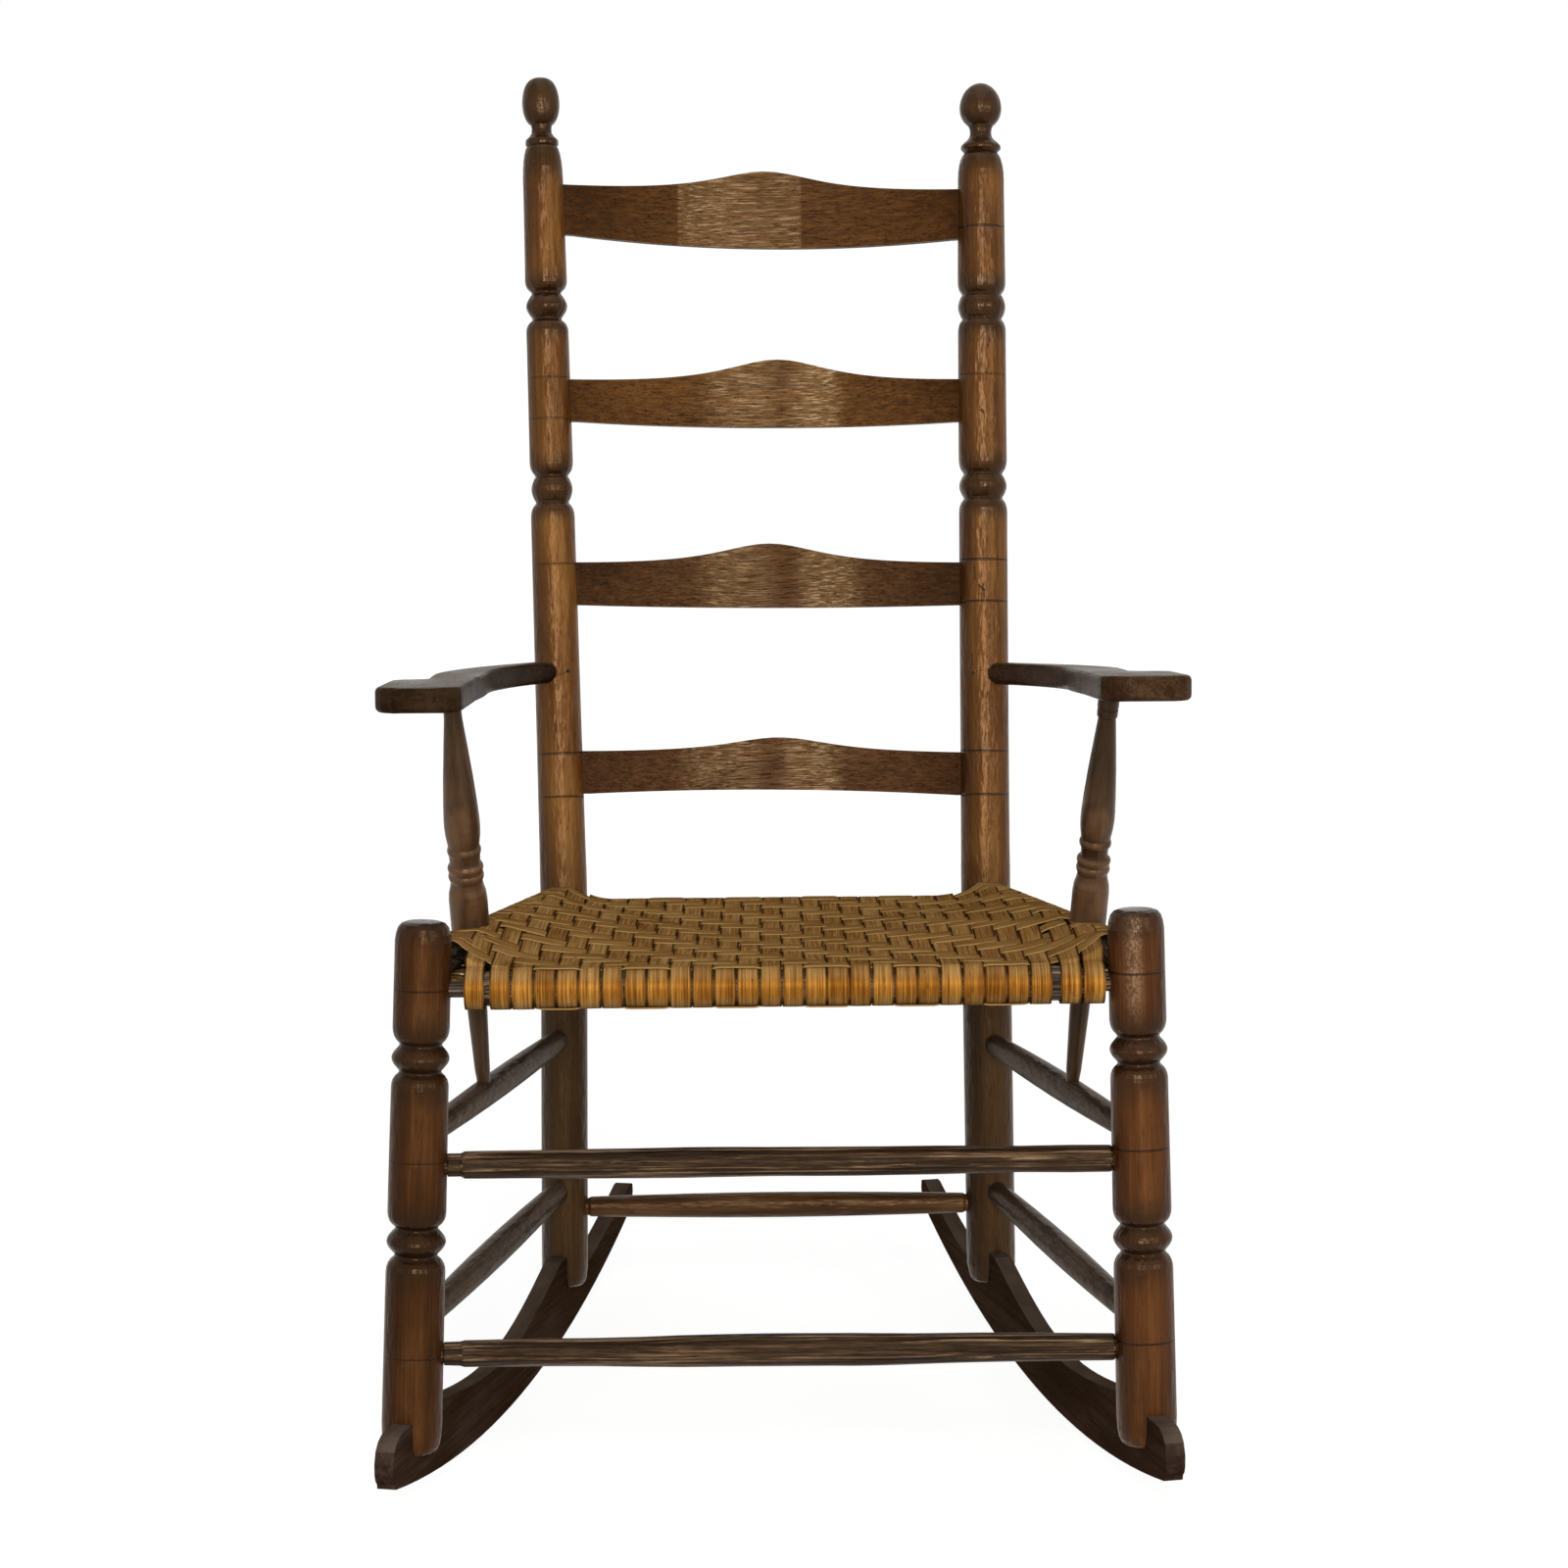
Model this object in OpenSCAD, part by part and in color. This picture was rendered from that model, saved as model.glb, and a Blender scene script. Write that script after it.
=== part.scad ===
// Ladder back rocking chair: turned posts with finials, four peaked bowed slats,
// paddle ended arms on raking spindles, stick stretchers, bowed rockers that toe in
// to the rear, and a splint seat woven round four rails.
// Millimetres, +Z up, the sitter faces -Y. The chair is drawn level in its own frame,
// with X across, Y from the front posts to the rear posts and Z up from the lowest
// point of the rocker arc, and is then leaned back into its balanced rest pose.
// The origin is on the floor, under the middle of the bounding box.

/* [Overall] */
// Distance between the front post axes at seat height
front_width = 505; // [480:1:520]
// Distance between the rear post axes at seat height
rear_width = 345; // [330:1:360]
// Front post axes to rear post axes
seat_depth = 380; // [365:1:400]
// Height of the front rail axis above the bottom of the rocker arc
rail_front_z = 362.8; // [350:0.1:375]
// Lean of the whole chair at rest, in degrees
rest_lean = 6.2; // [1:0.05:8]

/* [Posts] */
// Diameter of the front posts
front_post_d = 41.6; // [38:0.2:46]
// Extra diameter of the front posts below the lower turning
front_post_swell = 1.6; // [0:0.2:3]
// Outward splay of the left and right front posts towards the floor, in degrees
front_splay = [2.4, 1.4]; // [0:0.1:3]
// Diameter of the left and right rear posts at the seat
rear_post_d = [38.2, 40.2]; // [37:0.2:42]
// Diameter of the left and right rear posts under the finials
rear_post_top_d = [33.6, 39]; // [33:0.2:40]
// Outward slant of the rear posts below the seat, towards the floor, in degrees
rear_foot_splay = 0.7; // [0:0.1:2]
// Outward slant of the left and right rear posts above the seat, in degrees
back_splay = [1.2, 0.2]; // [0:0.1:2.5]
// Backward slant of the rear posts above the seat, in degrees
back_slant = 6.5; // [3:0.5:12]
// Height of the kink in the rear posts
kink_z = 376.8; // [370:0.2:384]
// Centreline radius of the bend in the rear posts
bend_r = 420; // [300:10:600]

/* [Slats] */
// Heights up the rear posts of the slats' lower corners, top slat first
slat_at = [539.8, 388.2, 237.7, 82.4]; // [80:0.1:545]
// Heights of the slat ends
slat_end_h = [40.5, 34.1, 34.5, 34.9]; // [30:0.1:45]
// Rise of the peak above the slat ends
slat_rise = [17.2, 19.5, 17.6, 12.6]; // [8:0.1:22]
// Drop of the belly below the slat ends; less than nothing is an arch
slat_belly = [5.7, 2.4, 0.8, -4.3]; // [-6:0.1:8]
// Distance of the peaks to the right of the slats' middles
slat_peak = [1.5, 9, 0, 5.5]; // [-10:0.5:12]
// How far the slats hang down to the right, in degrees
slat_tilt = [1.1, 0.5, 0.5, 0.75]; // [0:0.05:1.2]
// Slat thickness
slat_t = 8; // [6:0.5:10]
// How far the slats bow back
slat_bow = 26; // [15:1:35]

/* [Rungs and rails] */
// Heights of the front stretcher axes, upper and lower
front_rung_z = [236.6, 99.9]; // [90:0.1:245]
// Heights of the left side stretcher axes at the front post, upper and lower
left_rung_front_z = [254.6, 118.8]; // [115:0.1:260]
// Heights of the left side stretcher axes at the rear post, upper and lower
left_rung_rear_z = [262, 137.2]; // [133:0.1:264]
// Heights of the right side stretcher axes at the front post, upper and lower
right_rung_front_z = [252.8, 115.8]; // [115:0.1:260]
// Heights of the right side stretcher axes at the rear post, upper and lower
right_rung_rear_z = [254.8, 133.4]; // [133:0.1:264]
// Height of the rear stretcher axis
rear_rung_z = 119.4; // [115:0.2:121]
// Diameters of the upper and lower front stretchers at mid length
front_rung_d = [21.6, 23.4]; // [19:0.2:25]
// Diameters of the upper and lower side stretchers at mid length
side_rung_d = [21.4, 22.2]; // [19:0.2:24]
// Diameter of the rear stretcher at mid length
rear_rung_d = 20.8; // [18:0.2:23]
// Diameter of the stretcher tenons
rung_tenon_d = 14; // [12:0.2:14.4]
// Diameter of the front and rear seat rails
rail_d = 24.6; // [22:0.2:26]
// Diameter of the side seat rails
side_rail_d = 24; // [22:0.2:26]
// Diameter of the seat rail tenons
rail_tenon_d = 12; // [10:0.2:12.6]
// Height of the side rail axes at the front and rear posts
side_rail_z = [380, 374]; // [370:0.2:384]
// Height of the rear rail axis
rail_rear_z = 360.4; // [358:0.1:361]

/* [Arms] */
// Heights of the left and right arm tops above the front posts
arm_z = [577.5, 580.8]; // [570:0.1:590]
// Arm thickness
arm_t = 18; // [16:0.5:22]
// Slope of the left and right arms down to the rear, in degrees
arm_slope = [1.15, 2.25]; // [0:0.05:3]
// Distance of the left and right arms' middle lines from the chair's middle
arm_x = [238, 243]; // [232:0.5:246]
// Reach of the left and right hand rests outside those lines
hand_reach = [43.4, 47]; // [40:0.2:50]
// Diameter of the arm tenons in the rear posts
arm_tenon_d = 17.4; // [14:0.2:17.6]
// Rounding of the arms' long edges
arm_edge_r = 3.8; // [2:0.2:5]
// Where the left and right spindle axes meet the arms' undersides, sideways
spindle_top_x = [232.4, 237.9]; // [228:0.1:242]
// Where they meet them, backwards
spindle_top_y = 51; // [40:0.5:60]
// Where the spindle axis meets the upper side stretcher, backwards
spindle_foot_y = 158; // [150:1:166]
// Diameter of the spindle shank where it passes through the side rail
spindle_shank_d = 16.4; // [14:0.2:17]

/* [Rockers] */
// Thickness of the rocker boards
rocker_t = 14; // [12:0.5:16]
// Radius of the rocker arc
rocker_r = 1180; // [1050:10:1300]
// Distance of the arc's lowest point behind the front posts, along the rocker
rocker_low = 150; // [130:1:165]
// Height of the rocker's seat in the front and rear posts
rocker_seat_z = [54.5, 81]; // [50:0.5:85]
// Depth of the rocker's scoop between the posts
rocker_scoop = 23; // [12:0.5:25]
// How far the nose reaches ahead of the front posts
rocker_nose = 62; // [50:1:75]
// Distance of the tail's end behind the front posts, along the rocker
rocker_tail = 580; // [540:5:620]

/* [Woven seat] */
// Thickness of each woven skin, two splints thick
seat_skin = 2.2; // [1.6:0.1:3]
// Free space between the rails and the skin
seat_gap = 0.3; // [0.2:0.05:0.6]
// How far the middle of the seat sags below its front and rear rails
seat_sag = 3; // [0:0.5:8]
// Free space between the posts and the seat's corners
post_gap = 2.2; // [1.8:0.1:4]

/* [Fits] */
// Radial clearance round every tenon
fit = 0.12; // [0.05:0.01:0.25]
// Space left at the bottom of every blind hole
end_gap = 0.3; // [0.1:0.05:0.5]

/* [Hidden] */
$fn = 64;
walnut = [0.25, 0.15, 0.10];
chestnut = [0.36, 0.20, 0.10];
oak = [0.42, 0.27, 0.15];
splint = [0.62, 0.42, 0.18];
iron = [0.12, 0.10, 0.10];

seat_z = 367;
fr = front_post_d / 2;
fr_low = fr + front_post_swell / 2;
fs = function(k) k < 0 ? front_splay[0] : front_splay[1];
pick = function(v, k) k < 0 ? v[0] : v[1];

// Points on the post axes. k is -1 for the left side and 1 for the right side.
fp = function(k, z) [k * (front_width / 2 + tan(fs(k)) * (seat_z - z)), 0, z];
rp = function(k, z) [k * (rear_width / 2 + tan(rear_foot_splay) * (kink_z - z)), seat_depth, z];
kink = function(k) [k * rear_width / 2, seat_depth, kink_z];
up_dir = function(k) let (v = [k * tan(pick(back_splay, k)), tan(back_slant), 1]) v / norm(v);
up_pt = function(k, s) kink(k) + s * up_dir(k);

// The rockers run through the feet of the posts, so they toe in to the rear
foot_front = function(k) abs(fp(k, rocker_seat_z[0])[0]);
foot_rear = rp(1, rocker_seat_z[1])[0];
toe = function(k) atan((foot_front(k) - foot_rear) / seat_depth);
rear_s = seat_depth / cos(toe(1));

// Height that puts the arc's lowest point on the floor once the chair leans back
lean_g = sqrt(pow(sin(rest_lean) * cos(toe(1)), 2) + pow(cos(rest_lean), 2));
low_edge = rocker_t / 2 * sin(toe(1)) * sin(rest_lean);
floor_z = sin(rest_lean) * cos(toe(1)) * rocker_low - cos(rest_lean) * rocker_r
    + rocker_r * lean_g + low_edge;

// The rocker noses and the right finial's ball set the box in Y. The ball is drawn up to
// ball_top above its widest place, and ball_lean is the sine of its axis's lean.
ball_s = 643.7;
ball_r = 17.2;
ball_top = 21.2;
ball_lean = up_dir(1)[1] * cos(rest_lean) + up_dir(1)[2] * sin(rest_lean);
arc_z = function(s) rocker_r - sqrt(rocker_r * rocker_r - pow(s - rocker_low, 2));
nose_y = -rocker_nose * cos(toe(1)) - rocker_t / 2 * sin(toe(1));
front_y = nose_y * cos(rest_lean) + (arc_z(-rocker_nose) + 10) * sin(rest_lean);
rear_y = up_pt(1, ball_s)[1] * cos(rest_lean) + up_pt(1, ball_s)[2] * sin(rest_lean)
    + sqrt(pow(ball_r, 2) * (1 - pow(ball_lean, 2)) + pow(ball_top * ball_lean, 2));
mid_y = (front_y + rear_y) / 2;

// Leans the level chair back into its rest pose on the floor
module rest() {
    translate([0, -mid_y, floor_z])
        rotate([-rest_lean, 0, 0])
            children();
}

// Puts the local Z axis on the line from p to q, with the origin at p
module along(p, q) {
    d = q - p;
    translate(p)
        rotate([0, acos(d[2] / norm(d)), atan2(d[1], d[0])])
            children();
}

// Turned profiles, as [radius, height] points

// A rounded shoulder from radius r1 at z1 down to radius r2 at z2
shoulder = function(r1, z1, r2, z2, n = 4, a = 66)
    [for (i = [0:n]) let (t = a * i / n)
        [r1 + (r2 - r1) * (1 - cos(t)) / (1 - cos(a)), z1 + (z2 - z1) * sin(t) / sin(a)]];

// A bead or, with rb below rv, a cove: one half wave from z1 to z2
wave = function(rv, rb, z1, z2, n = 8)
    [for (i = [1:n - 1]) [rv + (rb - rv) * sin(180 * i / n), z1 + (z2 - z1) * i / n]];

// A round valley, lowest at radius r and height z, that rises by valley_rise to both lips
valley_half = 2;
valley_rise = 1.1;
valley = function(r, z)
    [for (i = [-3:3]) [r + valley_rise * (1 - cos(30 * i)), z + valley_half * i / 3]];

// Shoulder, valley, bead, valley and shoulder, from the bottom up
turning = function(z, rl, ru, rv, rb, hb, hl, hu)
    let (lip = rv + valley_rise, w = valley_half)
    concat(
        [for (i = [0:3]) shoulder(rl, z - hb - hl, lip, z - hb - w)[i]],
        valley(rv, z - hb),
        wave(lip, rb, z - hb + w, z + hb - w),
        valley(rv, z + hb),
        [for (i = [3:-1:0]) shoulder(ru, z + hb + hu, lip, z + hb + w)[i]]);

module turned(points) {
    rotate_extrude()
        polygon(concat([[0, points[0][1]]], points, [[0, points[len(points) - 1][1]]]));
}

// A blind round hole along the line from p to q: it starts e from p, less the end gap. It is
// turned by 30 degrees, so that its seam stays clear of the others in the post.
module hole(p, q, e, d, h = 40) {
    along(p, q)
        rotate([0, 0, 30])
            translate([0, 0, e - end_gap])
                cylinder(d = d + 2 * fit, h = h);
}

// Rungs and rails

// A stick from p to q. e1 and e2 are where its ends stop short of the post axes, r1 and
// r2 the post radii, n1 and n2 the lengths of the necks, de the end and dm the middle size.
module stick(p, q, e, r1, r2, n1, n2, td, dn, de, dm) {
    len = norm(q - p);
    a = r1 + 0.4 + n1;
    b = len - r2 - 0.4 - n2;
    body = [for (i = [0:8]) [de / 2 + (dm - de) / 2 * sin(22.5 * i), a + 2.5 + (b - a - 5) * i / 8]];
    neck1 = n1 > 0 ? [[dn / 2, r1 + 0.4], [dn / 2, a]] : [];
    neck2 = n2 > 0 ? [[dn / 2, b], [dn / 2, len - r2 - 0.4]] : [];
    along(p, q)
        turned(concat(
            [[td / 2, e], [td / 2, r1 + 0.4]], neck1, body, neck2,
            [[td / 2, len - r2 - 0.4], [td / 2, len - e]]));
}

// End points of the rungs and rails
fru = [fp(-1, front_rung_z[0]), fp(1, front_rung_z[0])];
frl = [fp(-1, front_rung_z[1]), fp(1, front_rung_z[1])];
rru = [rp(-1, rear_rung_z), rp(1, rear_rung_z)];
sru = function(k, i) k < 0
    ? [fp(k, left_rung_front_z[i]), rp(k, left_rung_rear_z[i])]
    : [fp(k, right_rung_front_z[i]), rp(k, right_rung_rear_z[i])];
rlf = [fp(-1, rail_front_z), fp(1, rail_front_z)];
rlr = [rp(-1, rail_rear_z), rp(1, rail_rear_z)];
rls = function(k) [fp(k, side_rail_z[0]), rp(k, side_rail_z[1])];
front_e = 3;
rear_e = 3.4;

module side_stretcher(k, i) {
    s = sru(k, i);
    stick(s[0], s[1], front_e, i > 0 ? fr_low : fr, pick(rear_post_d, k) / 2, 0, 0,
        rung_tenon_d, 16, 17.4, side_rung_d[i]);
}

module seat_rail(p, q, e, r1, r2, d) {
    len = norm(q - p);
    along(p, q)
        turned([[rail_tenon_d / 2, e], [rail_tenon_d / 2, r1 + 10], [d / 2 - 2.5, r1 + 14],
            [d / 2, r1 + 26], [d / 2, len - r2 - 26], [d / 2 - 2.5, len - r2 - 14],
            [rail_tenon_d / 2, len - r2 - 10], [rail_tenon_d / 2, len - e]]);
}

module side_rail(k) {
    s = rls(k);
    difference() {
        seat_rail(s[0], s[1], front_e, fr, pick(rear_post_d, k) / 2, side_rail_d);
        along(spindle_foot(k), spindle_head(k))
            cylinder(d = spindle_shank_d + 2 * fit, h = 220);
    }
}

// Arm spindles

rung_x = function(k, y) let (s = sru(k, 0)) s[0][0] + (s[1][0] - s[0][0]) * y / seat_depth;
rung_z = function(k, y) let (s = sru(k, 0)) s[0][2] + (s[1][2] - s[0][2]) * y / seat_depth;
spindle_foot = function(k) [rung_x(k, spindle_foot_y), spindle_foot_y, rung_z(k, spindle_foot_y)];
arm_under = function(k) let (a = pick(arm_slope, k))
    pick(arm_z, k) - arm_t / cos(a) - tan(a) * spindle_top_y;
spindle_head = function(k) [k * pick(spindle_top_x, k), spindle_top_y, arm_under(k)];

// Where the spindle passes the side rail axis, as a distance up the spindle
rail_pass = function(k)
    let (f = spindle_foot(k), h = spindle_head(k))
    norm(h - f) * (side_rail_z[0] + (side_rail_z[1] - side_rail_z[0]) * 0.3 - f[2]) / (h[2] - f[2]);

module arm_frame(k) {
    translate([0, 0, pick(arm_z, k)])
        rotate([-pick(arm_slope, k), 0, 0])
            children();
}

module arm_spindle(k) {
    f = spindle_foot(k);
    h = spindle_head(k);
    len = norm(h - f);
    c = rail_pass(k);
    base = c + 9;
    // the right one is slimmer and was turned a little higher up
    slim = k < 0 ? 0 : 0.7;
    u = k < 0 ? c : c + 1.4;
    neck = k < 0 ? [[6.7, len - 9], [6.4, len + 6]]
        : [[6.4, len - 14.4], [7.5, len - 13.6], [7.6, len - 8.6], [7.1, len - 7.8],
            [7.1, len - 7.2], [7.8, len - 6.4], [7.7, len + 6]];
    side = rls(k);
    difference() {
        along(f, h)
            turned(concat(
                [[14.2 - slim, base], [14.2 - slim, u + 38], [13.7 - slim, u + 43.5]],
                [[12.4 - slim, u + 48.4], [11.7 - slim, u + 52.2]],
                wave(11.8 - slim, 13.1 - slim, u + 53, u + 60.6, 8),
                [[12.6 - slim, u + 60.9]],
                wave(12.6 - slim, 13.2 - slim, u + 61.2, u + 65.8, 6),
                [[11.5 - 2 * slim, u + 67.2], [11.3 - 2 * slim, u + 69.4], [11.6 - 2 * slim, u + 74.2]],
                wave(11.8 - slim, 12.5 - slim, u + 74.8, u + 80.4, 6),
                [[11.5 - slim, u + 81.2], [12.1 - slim, u + 85], [12.8 - slim, u + 90]],
                [[13.2 - slim, u + 97], [13.1 - slim, u + 103], [12.5 - slim, u + 114.5]],
                [[10.9 - slim, u + 137], [8.8 - slim, u + 160]], neck));
        along(side[0], side[1])
            cylinder(d = side_rail_d + 2 * seat_gap, h = seat_depth + 20);
        arm_frame(k)
            translate([-400, -200, -arm_t - 0.15])
                cube([800, 500, 80]);
    }
    // shank through the rail, tapered foot and the two tenons
    along(f, h)
        turned([[5, 3.4], [5, 13], [5.7, 20], [7.4, 70], [spindle_shank_d / 2, c - 19],
            [spindle_shank_d / 2, base + 4], [6, base + 8], [5.5, len - 12], [5.5, len + 9.4]]);
}

// Front posts

module front_post(k) {
    top = k < 0 ? 411.6 : 415.6;
    foot = 29.5;
    // the posts thin out a little towards the top
    crown = fr - 0.8;
    low = k < 0 ? [182, 15.3] : [179.3, 15.9];
    high = k < 0 ? 314 : 315.2;
    difference() {
        translate([k * front_width / 2, 0, seat_z])
            rotate([0, -k * fs(k), 0])
                translate([0, 0, -seat_z])
                    turned(concat(
                        [[16.2, foot], [18.6, foot + 1.6], [20.2, foot + 5], [21.2, foot + 11]],
                        [[fr_low, foot + 20]],
                        turning(low[0], fr_low - 0.4, fr + 0.1, low[1], fr + 0.3, 9.8, 12.4, 11.2),
                        turning(high, fr - 0.4, fr - 0.6, 15, fr - 0.3, 9.6, 11.2, 12.5),
                        [[crown, top - 14], [crown - 0.7, top - 8.6], [crown - 2, top - 4.4]],
                        [[crown - 4.4, top - 1.6], [crown - 8, top - 0.4], [crown - 13, top]]));
        hole(rlf[k < 0 ? 0 : 1], rlf[k < 0 ? 1 : 0], front_e, rail_tenon_d);
        hole(rls(k)[0], rls(k)[1], front_e, rail_tenon_d);
        hole(fru[k < 0 ? 0 : 1], fru[k < 0 ? 1 : 0], front_e, rung_tenon_d);
        hole(frl[k < 0 ? 0 : 1], frl[k < 0 ? 1 : 0], front_e, rung_tenon_d);
        hole(sru(k, 0)[0], sru(k, 0)[1], front_e, rung_tenon_d);
        hole(sru(k, 1)[0], sru(k, 1)[1], front_e, rung_tenon_d);
        rocker_slot(k, 0, 0);
    }
}

// Rear posts

// Finial points above the collar's underside at s. The left one is egg shaped, the right
// one is a ball over a wider collar, drawn out a little at the top.
egg = concat(
    [[13.3, 616.6], [13.5, 618.6], [13.1, 620.8], [10.4, 623.4], [8.4, 626.2], [8.1, 629.6]],
    [for (a = [-66:9:78]) [15.3 * pow(cos(a), 0.64), 650.5 + (a < 0 ? 19.2 : 21.4) * sin(a)]],
    [[2.6, 671.8]]);
ball = concat(
    [[14.8, 609], [16.2, 610.4], [16.4, 611.6], [16.1, 613.2], [14.2, 615.4], [11.4, 617.7]],
    [[9.6, 620], [8.9, 622], [8.7, 624.4], [9, 627]],
    [for (a = [-54:9:81]) [ball_r * cos(a), ball_s + (a < 0 ? ball_r : ball_top) * sin(a)]],
    [[1, ball_s + ball_top]]);

module rear_post(k) {
    rb = pick(rear_post_d, k) / 2;
    rt = pick(rear_post_top_d, k) / 2;
    rs = function(s) rb + (rt - rb) * s / 600;
    ux = k * tan(pick(back_splay, k) + rear_foot_splay);
    uy = tan(back_slant);
    bend = atan(norm([ux, uy]));
    cut = bend_r * tan(bend / 2);
    foot = kink_z - 55;
    // the straight lengths are a hair thinner than the bend
    step = 0.1;
    cap = k < 0 ? egg : ball;
    crown = k < 0 ? [rs(600) - 0.4, 590, 12.3, 615.6] : [rs(600) - 0.6, 586, 13.4, 607.4];
    // turnings: place, valley radius, how far the bead stays under the post, half height
    low = k < 0 ? [333.9, 13.4, 1, 10.6] : [333.6, 15.8, 0.3, 9.9];
    high = k < 0 ? [484.1, 12, 0.4, 10.4] : [480.7, 16.2, 0.2, 10];
    difference() {
        translate(kink(k))
            rotate([0, -k * rear_foot_splay, 0])
                rotate([0, 0, atan2(uy, ux)]) {
                    turned([[14.8, -foot], [16.8, -foot + 2], [18, -foot + 5.5], [rb - 0.2, -foot + 14],
                        [rb - step, -foot + 24], [rb - step, 1 - cut]]);
                    translate([bend_r, 0, -cut])
                        mirror([1, 0, 0])
                            rotate([90, 0, 0])
                                rotate_extrude(angle = bend, $fn = 720)
                                    translate([bend_r, 0])
                                        circle(r = rb, $fn = 64);
                    translate([cut * sin(bend), 0, cut * cos(bend)])
                        rotate([0, bend, 0])
                            translate([0, 0, -cut])
                                turned(concat(
                                    [[rb - step, cut - 1]],
                                    turning(low[0], rs(310), rs(350), low[1], rs(low[0]) - low[2],
                                        low[3], 12, 12),
                                    turning(high[0], rs(465), rs(505), high[1],
                                        rs(high[0]) - high[2], high[3], 10.5, 10.5),
                                    shoulder(crown[0], crown[1], crown[2], crown[3], 5, 74), cap));
                }
        hole(rlr[k < 0 ? 0 : 1], rlr[k < 0 ? 1 : 0], rear_e, rail_tenon_d);
        hole(rls(k)[1], rls(k)[0], front_e, rail_tenon_d);
        hole(rru[k < 0 ? 0 : 1], rru[k < 0 ? 1 : 0], rear_e, rung_tenon_d);
        hole(sru(k, 0)[1], sru(k, 0)[0], front_e, rung_tenon_d);
        hole(sru(k, 1)[1], sru(k, 1)[0], front_e, rung_tenon_d);
        hole(post_hit(k), arm_tail(k), 2, arm_tenon_d);
        arm_pin(k, fit);
        rocker_slot(k, rear_s, 1);
        for (i = [0:3])
            slat_body(i, fit, fit + 0.1);
    }
}

// Slats

// The slats lie in the plane of the upper posts: X across, Y back, Z up the slant
module back_frame() {
    translate([0, seat_depth, kink_z])
        rotate([-back_slant, 0, 0])
            children();
}

// Slat ends reach into the posts to 4 mm short of the post axes
slat_x = function(k, s) k * (rear_width / 2 + s * tan(pick(back_splay, k)) - 4);
slat_mid = function(i) (slat_x(1, slat_at[i]) + slat_x(-1, slat_at[i])) / 2;
slat_half = function(i) (slat_x(1, slat_at[i]) - slat_x(-1, slat_at[i])) / 2;
slat_ring = function(i) let (c = slat_half(i)) (c * c + slat_bow * slat_bow) / (2 * slat_bow);

// Peak: a bell that is highest at x = 0 and dies out c away from it
bell_width = 55;
bell = function(x, c)
    let (k = 1 / (1 + pow(c / bell_width, 2)))
    max(0, (1 / (1 + pow(x / bell_width, 2)) - k) / (1 - k));

module slat_body(i, side, ends) {
    r = slat_ring(i);
    mid = slat_at[i] + slat_end_h[i] / 2;
    back_frame()
        translate([slat_mid(i), 0, 0])
            intersection() {
                translate([0, slat_bow - 3 - r, slat_at[i] - 20])
                    difference() {
                        cylinder(r = r + slat_t / 2 + side, h = 100, $fn = 360);
                        translate([0, 0, -1])
                            cylinder(r = r - slat_t / 2 - side, h = 102, $fn = 360);
                    }
                translate([0, 60, mid])
                    rotate([0, slat_tilt[i], 0])
                        rotate([90, 0, 0])
                            translate([0, -mid, 0])
                                linear_extrude(height = 120)
                                    slat_outline(i, side, ends);
            }
}

// Seen from the front, with the peak's rise at the top and the belly's drop at the bottom
module slat_outline(i, side, ends) {
    c = slat_half(i);
    n = 36;
    polygon(concat(
        [[-c - ends, slat_at[i] - side]],
        [for (j = [-n / 2 + 2:n / 2 - 2]) let (x = 2 * c * j / n)
            [x, slat_at[i] - side - slat_belly[i] * (1 - pow(x / (0.9 * c), 2))]],
        [[c + ends, slat_at[i] - side]],
        [for (j = [n / 2:-1:-n / 2]) let (x = 2 * c * j / n)
            [x + (abs(j) == n / 2 ? sign(j) * ends : 0),
                slat_at[i] + slat_end_h[i] + side + slat_rise[i] * bell(x - slat_peak[i], c)]]));
}

// Arms

// The arm's middle runs straight back, then curves in to the rear post
arm_bend_y = seat_depth - 190;
// Where the arm is widest behind the neck, where its edges start to turn round, where the
// tenon leaves it and where it ends
arm_slim_y = seat_depth - 180;
arm_round_y = seat_depth - 100;
arm_tail_y = seat_depth - 28;
arm_rear_y = seat_depth - 4;
arm_slim_end_y = seat_depth - 18;
// Half widths at the neck, behind it where the arm is widest, and at the post
arm_neck_half = 18;
arm_wide_half = 20.5;
arm_tail_half = 9.8;

// Where the arm's axis meets the axis of the rear post
arm_hit = function(k)
    let (slope = tan(pick(arm_slope, k)))
    (pick(arm_z, k) - arm_t / 2 - slope * seat_depth - kink_z)
        / (up_dir(k)[2] + slope * up_dir(k)[1]);
post_hit = function(k) up_pt(k, arm_hit(k));
arm_mid = function(k, y)
    let (p = post_hit(k), x = pick(arm_x, k),
        t = max(0, (y - arm_bend_y) / (p[1] - arm_bend_y)))
    x - (x - abs(p[0])) * t * t;
arm_half = function(y) y < arm_slim_y
    ? arm_neck_half + (arm_wide_half - arm_neck_half)
        * sin(90 * (y - neck_y + 2) / (arm_slim_y - neck_y + 2))
    : arm_tail_half + (arm_wide_half - arm_tail_half)
        * pow(max(0, (arm_slim_end_y - y) / (arm_slim_end_y - arm_slim_y)), 1.5);

// Where the tenon's axis leaves the board
arm_tail = function(k)
    let (p = post_hit(k))
    [k * arm_mid(k, arm_tail_y), arm_tail_y, p[2] + (p[1] - arm_tail_y) * tan(pick(arm_slope, k))];

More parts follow.
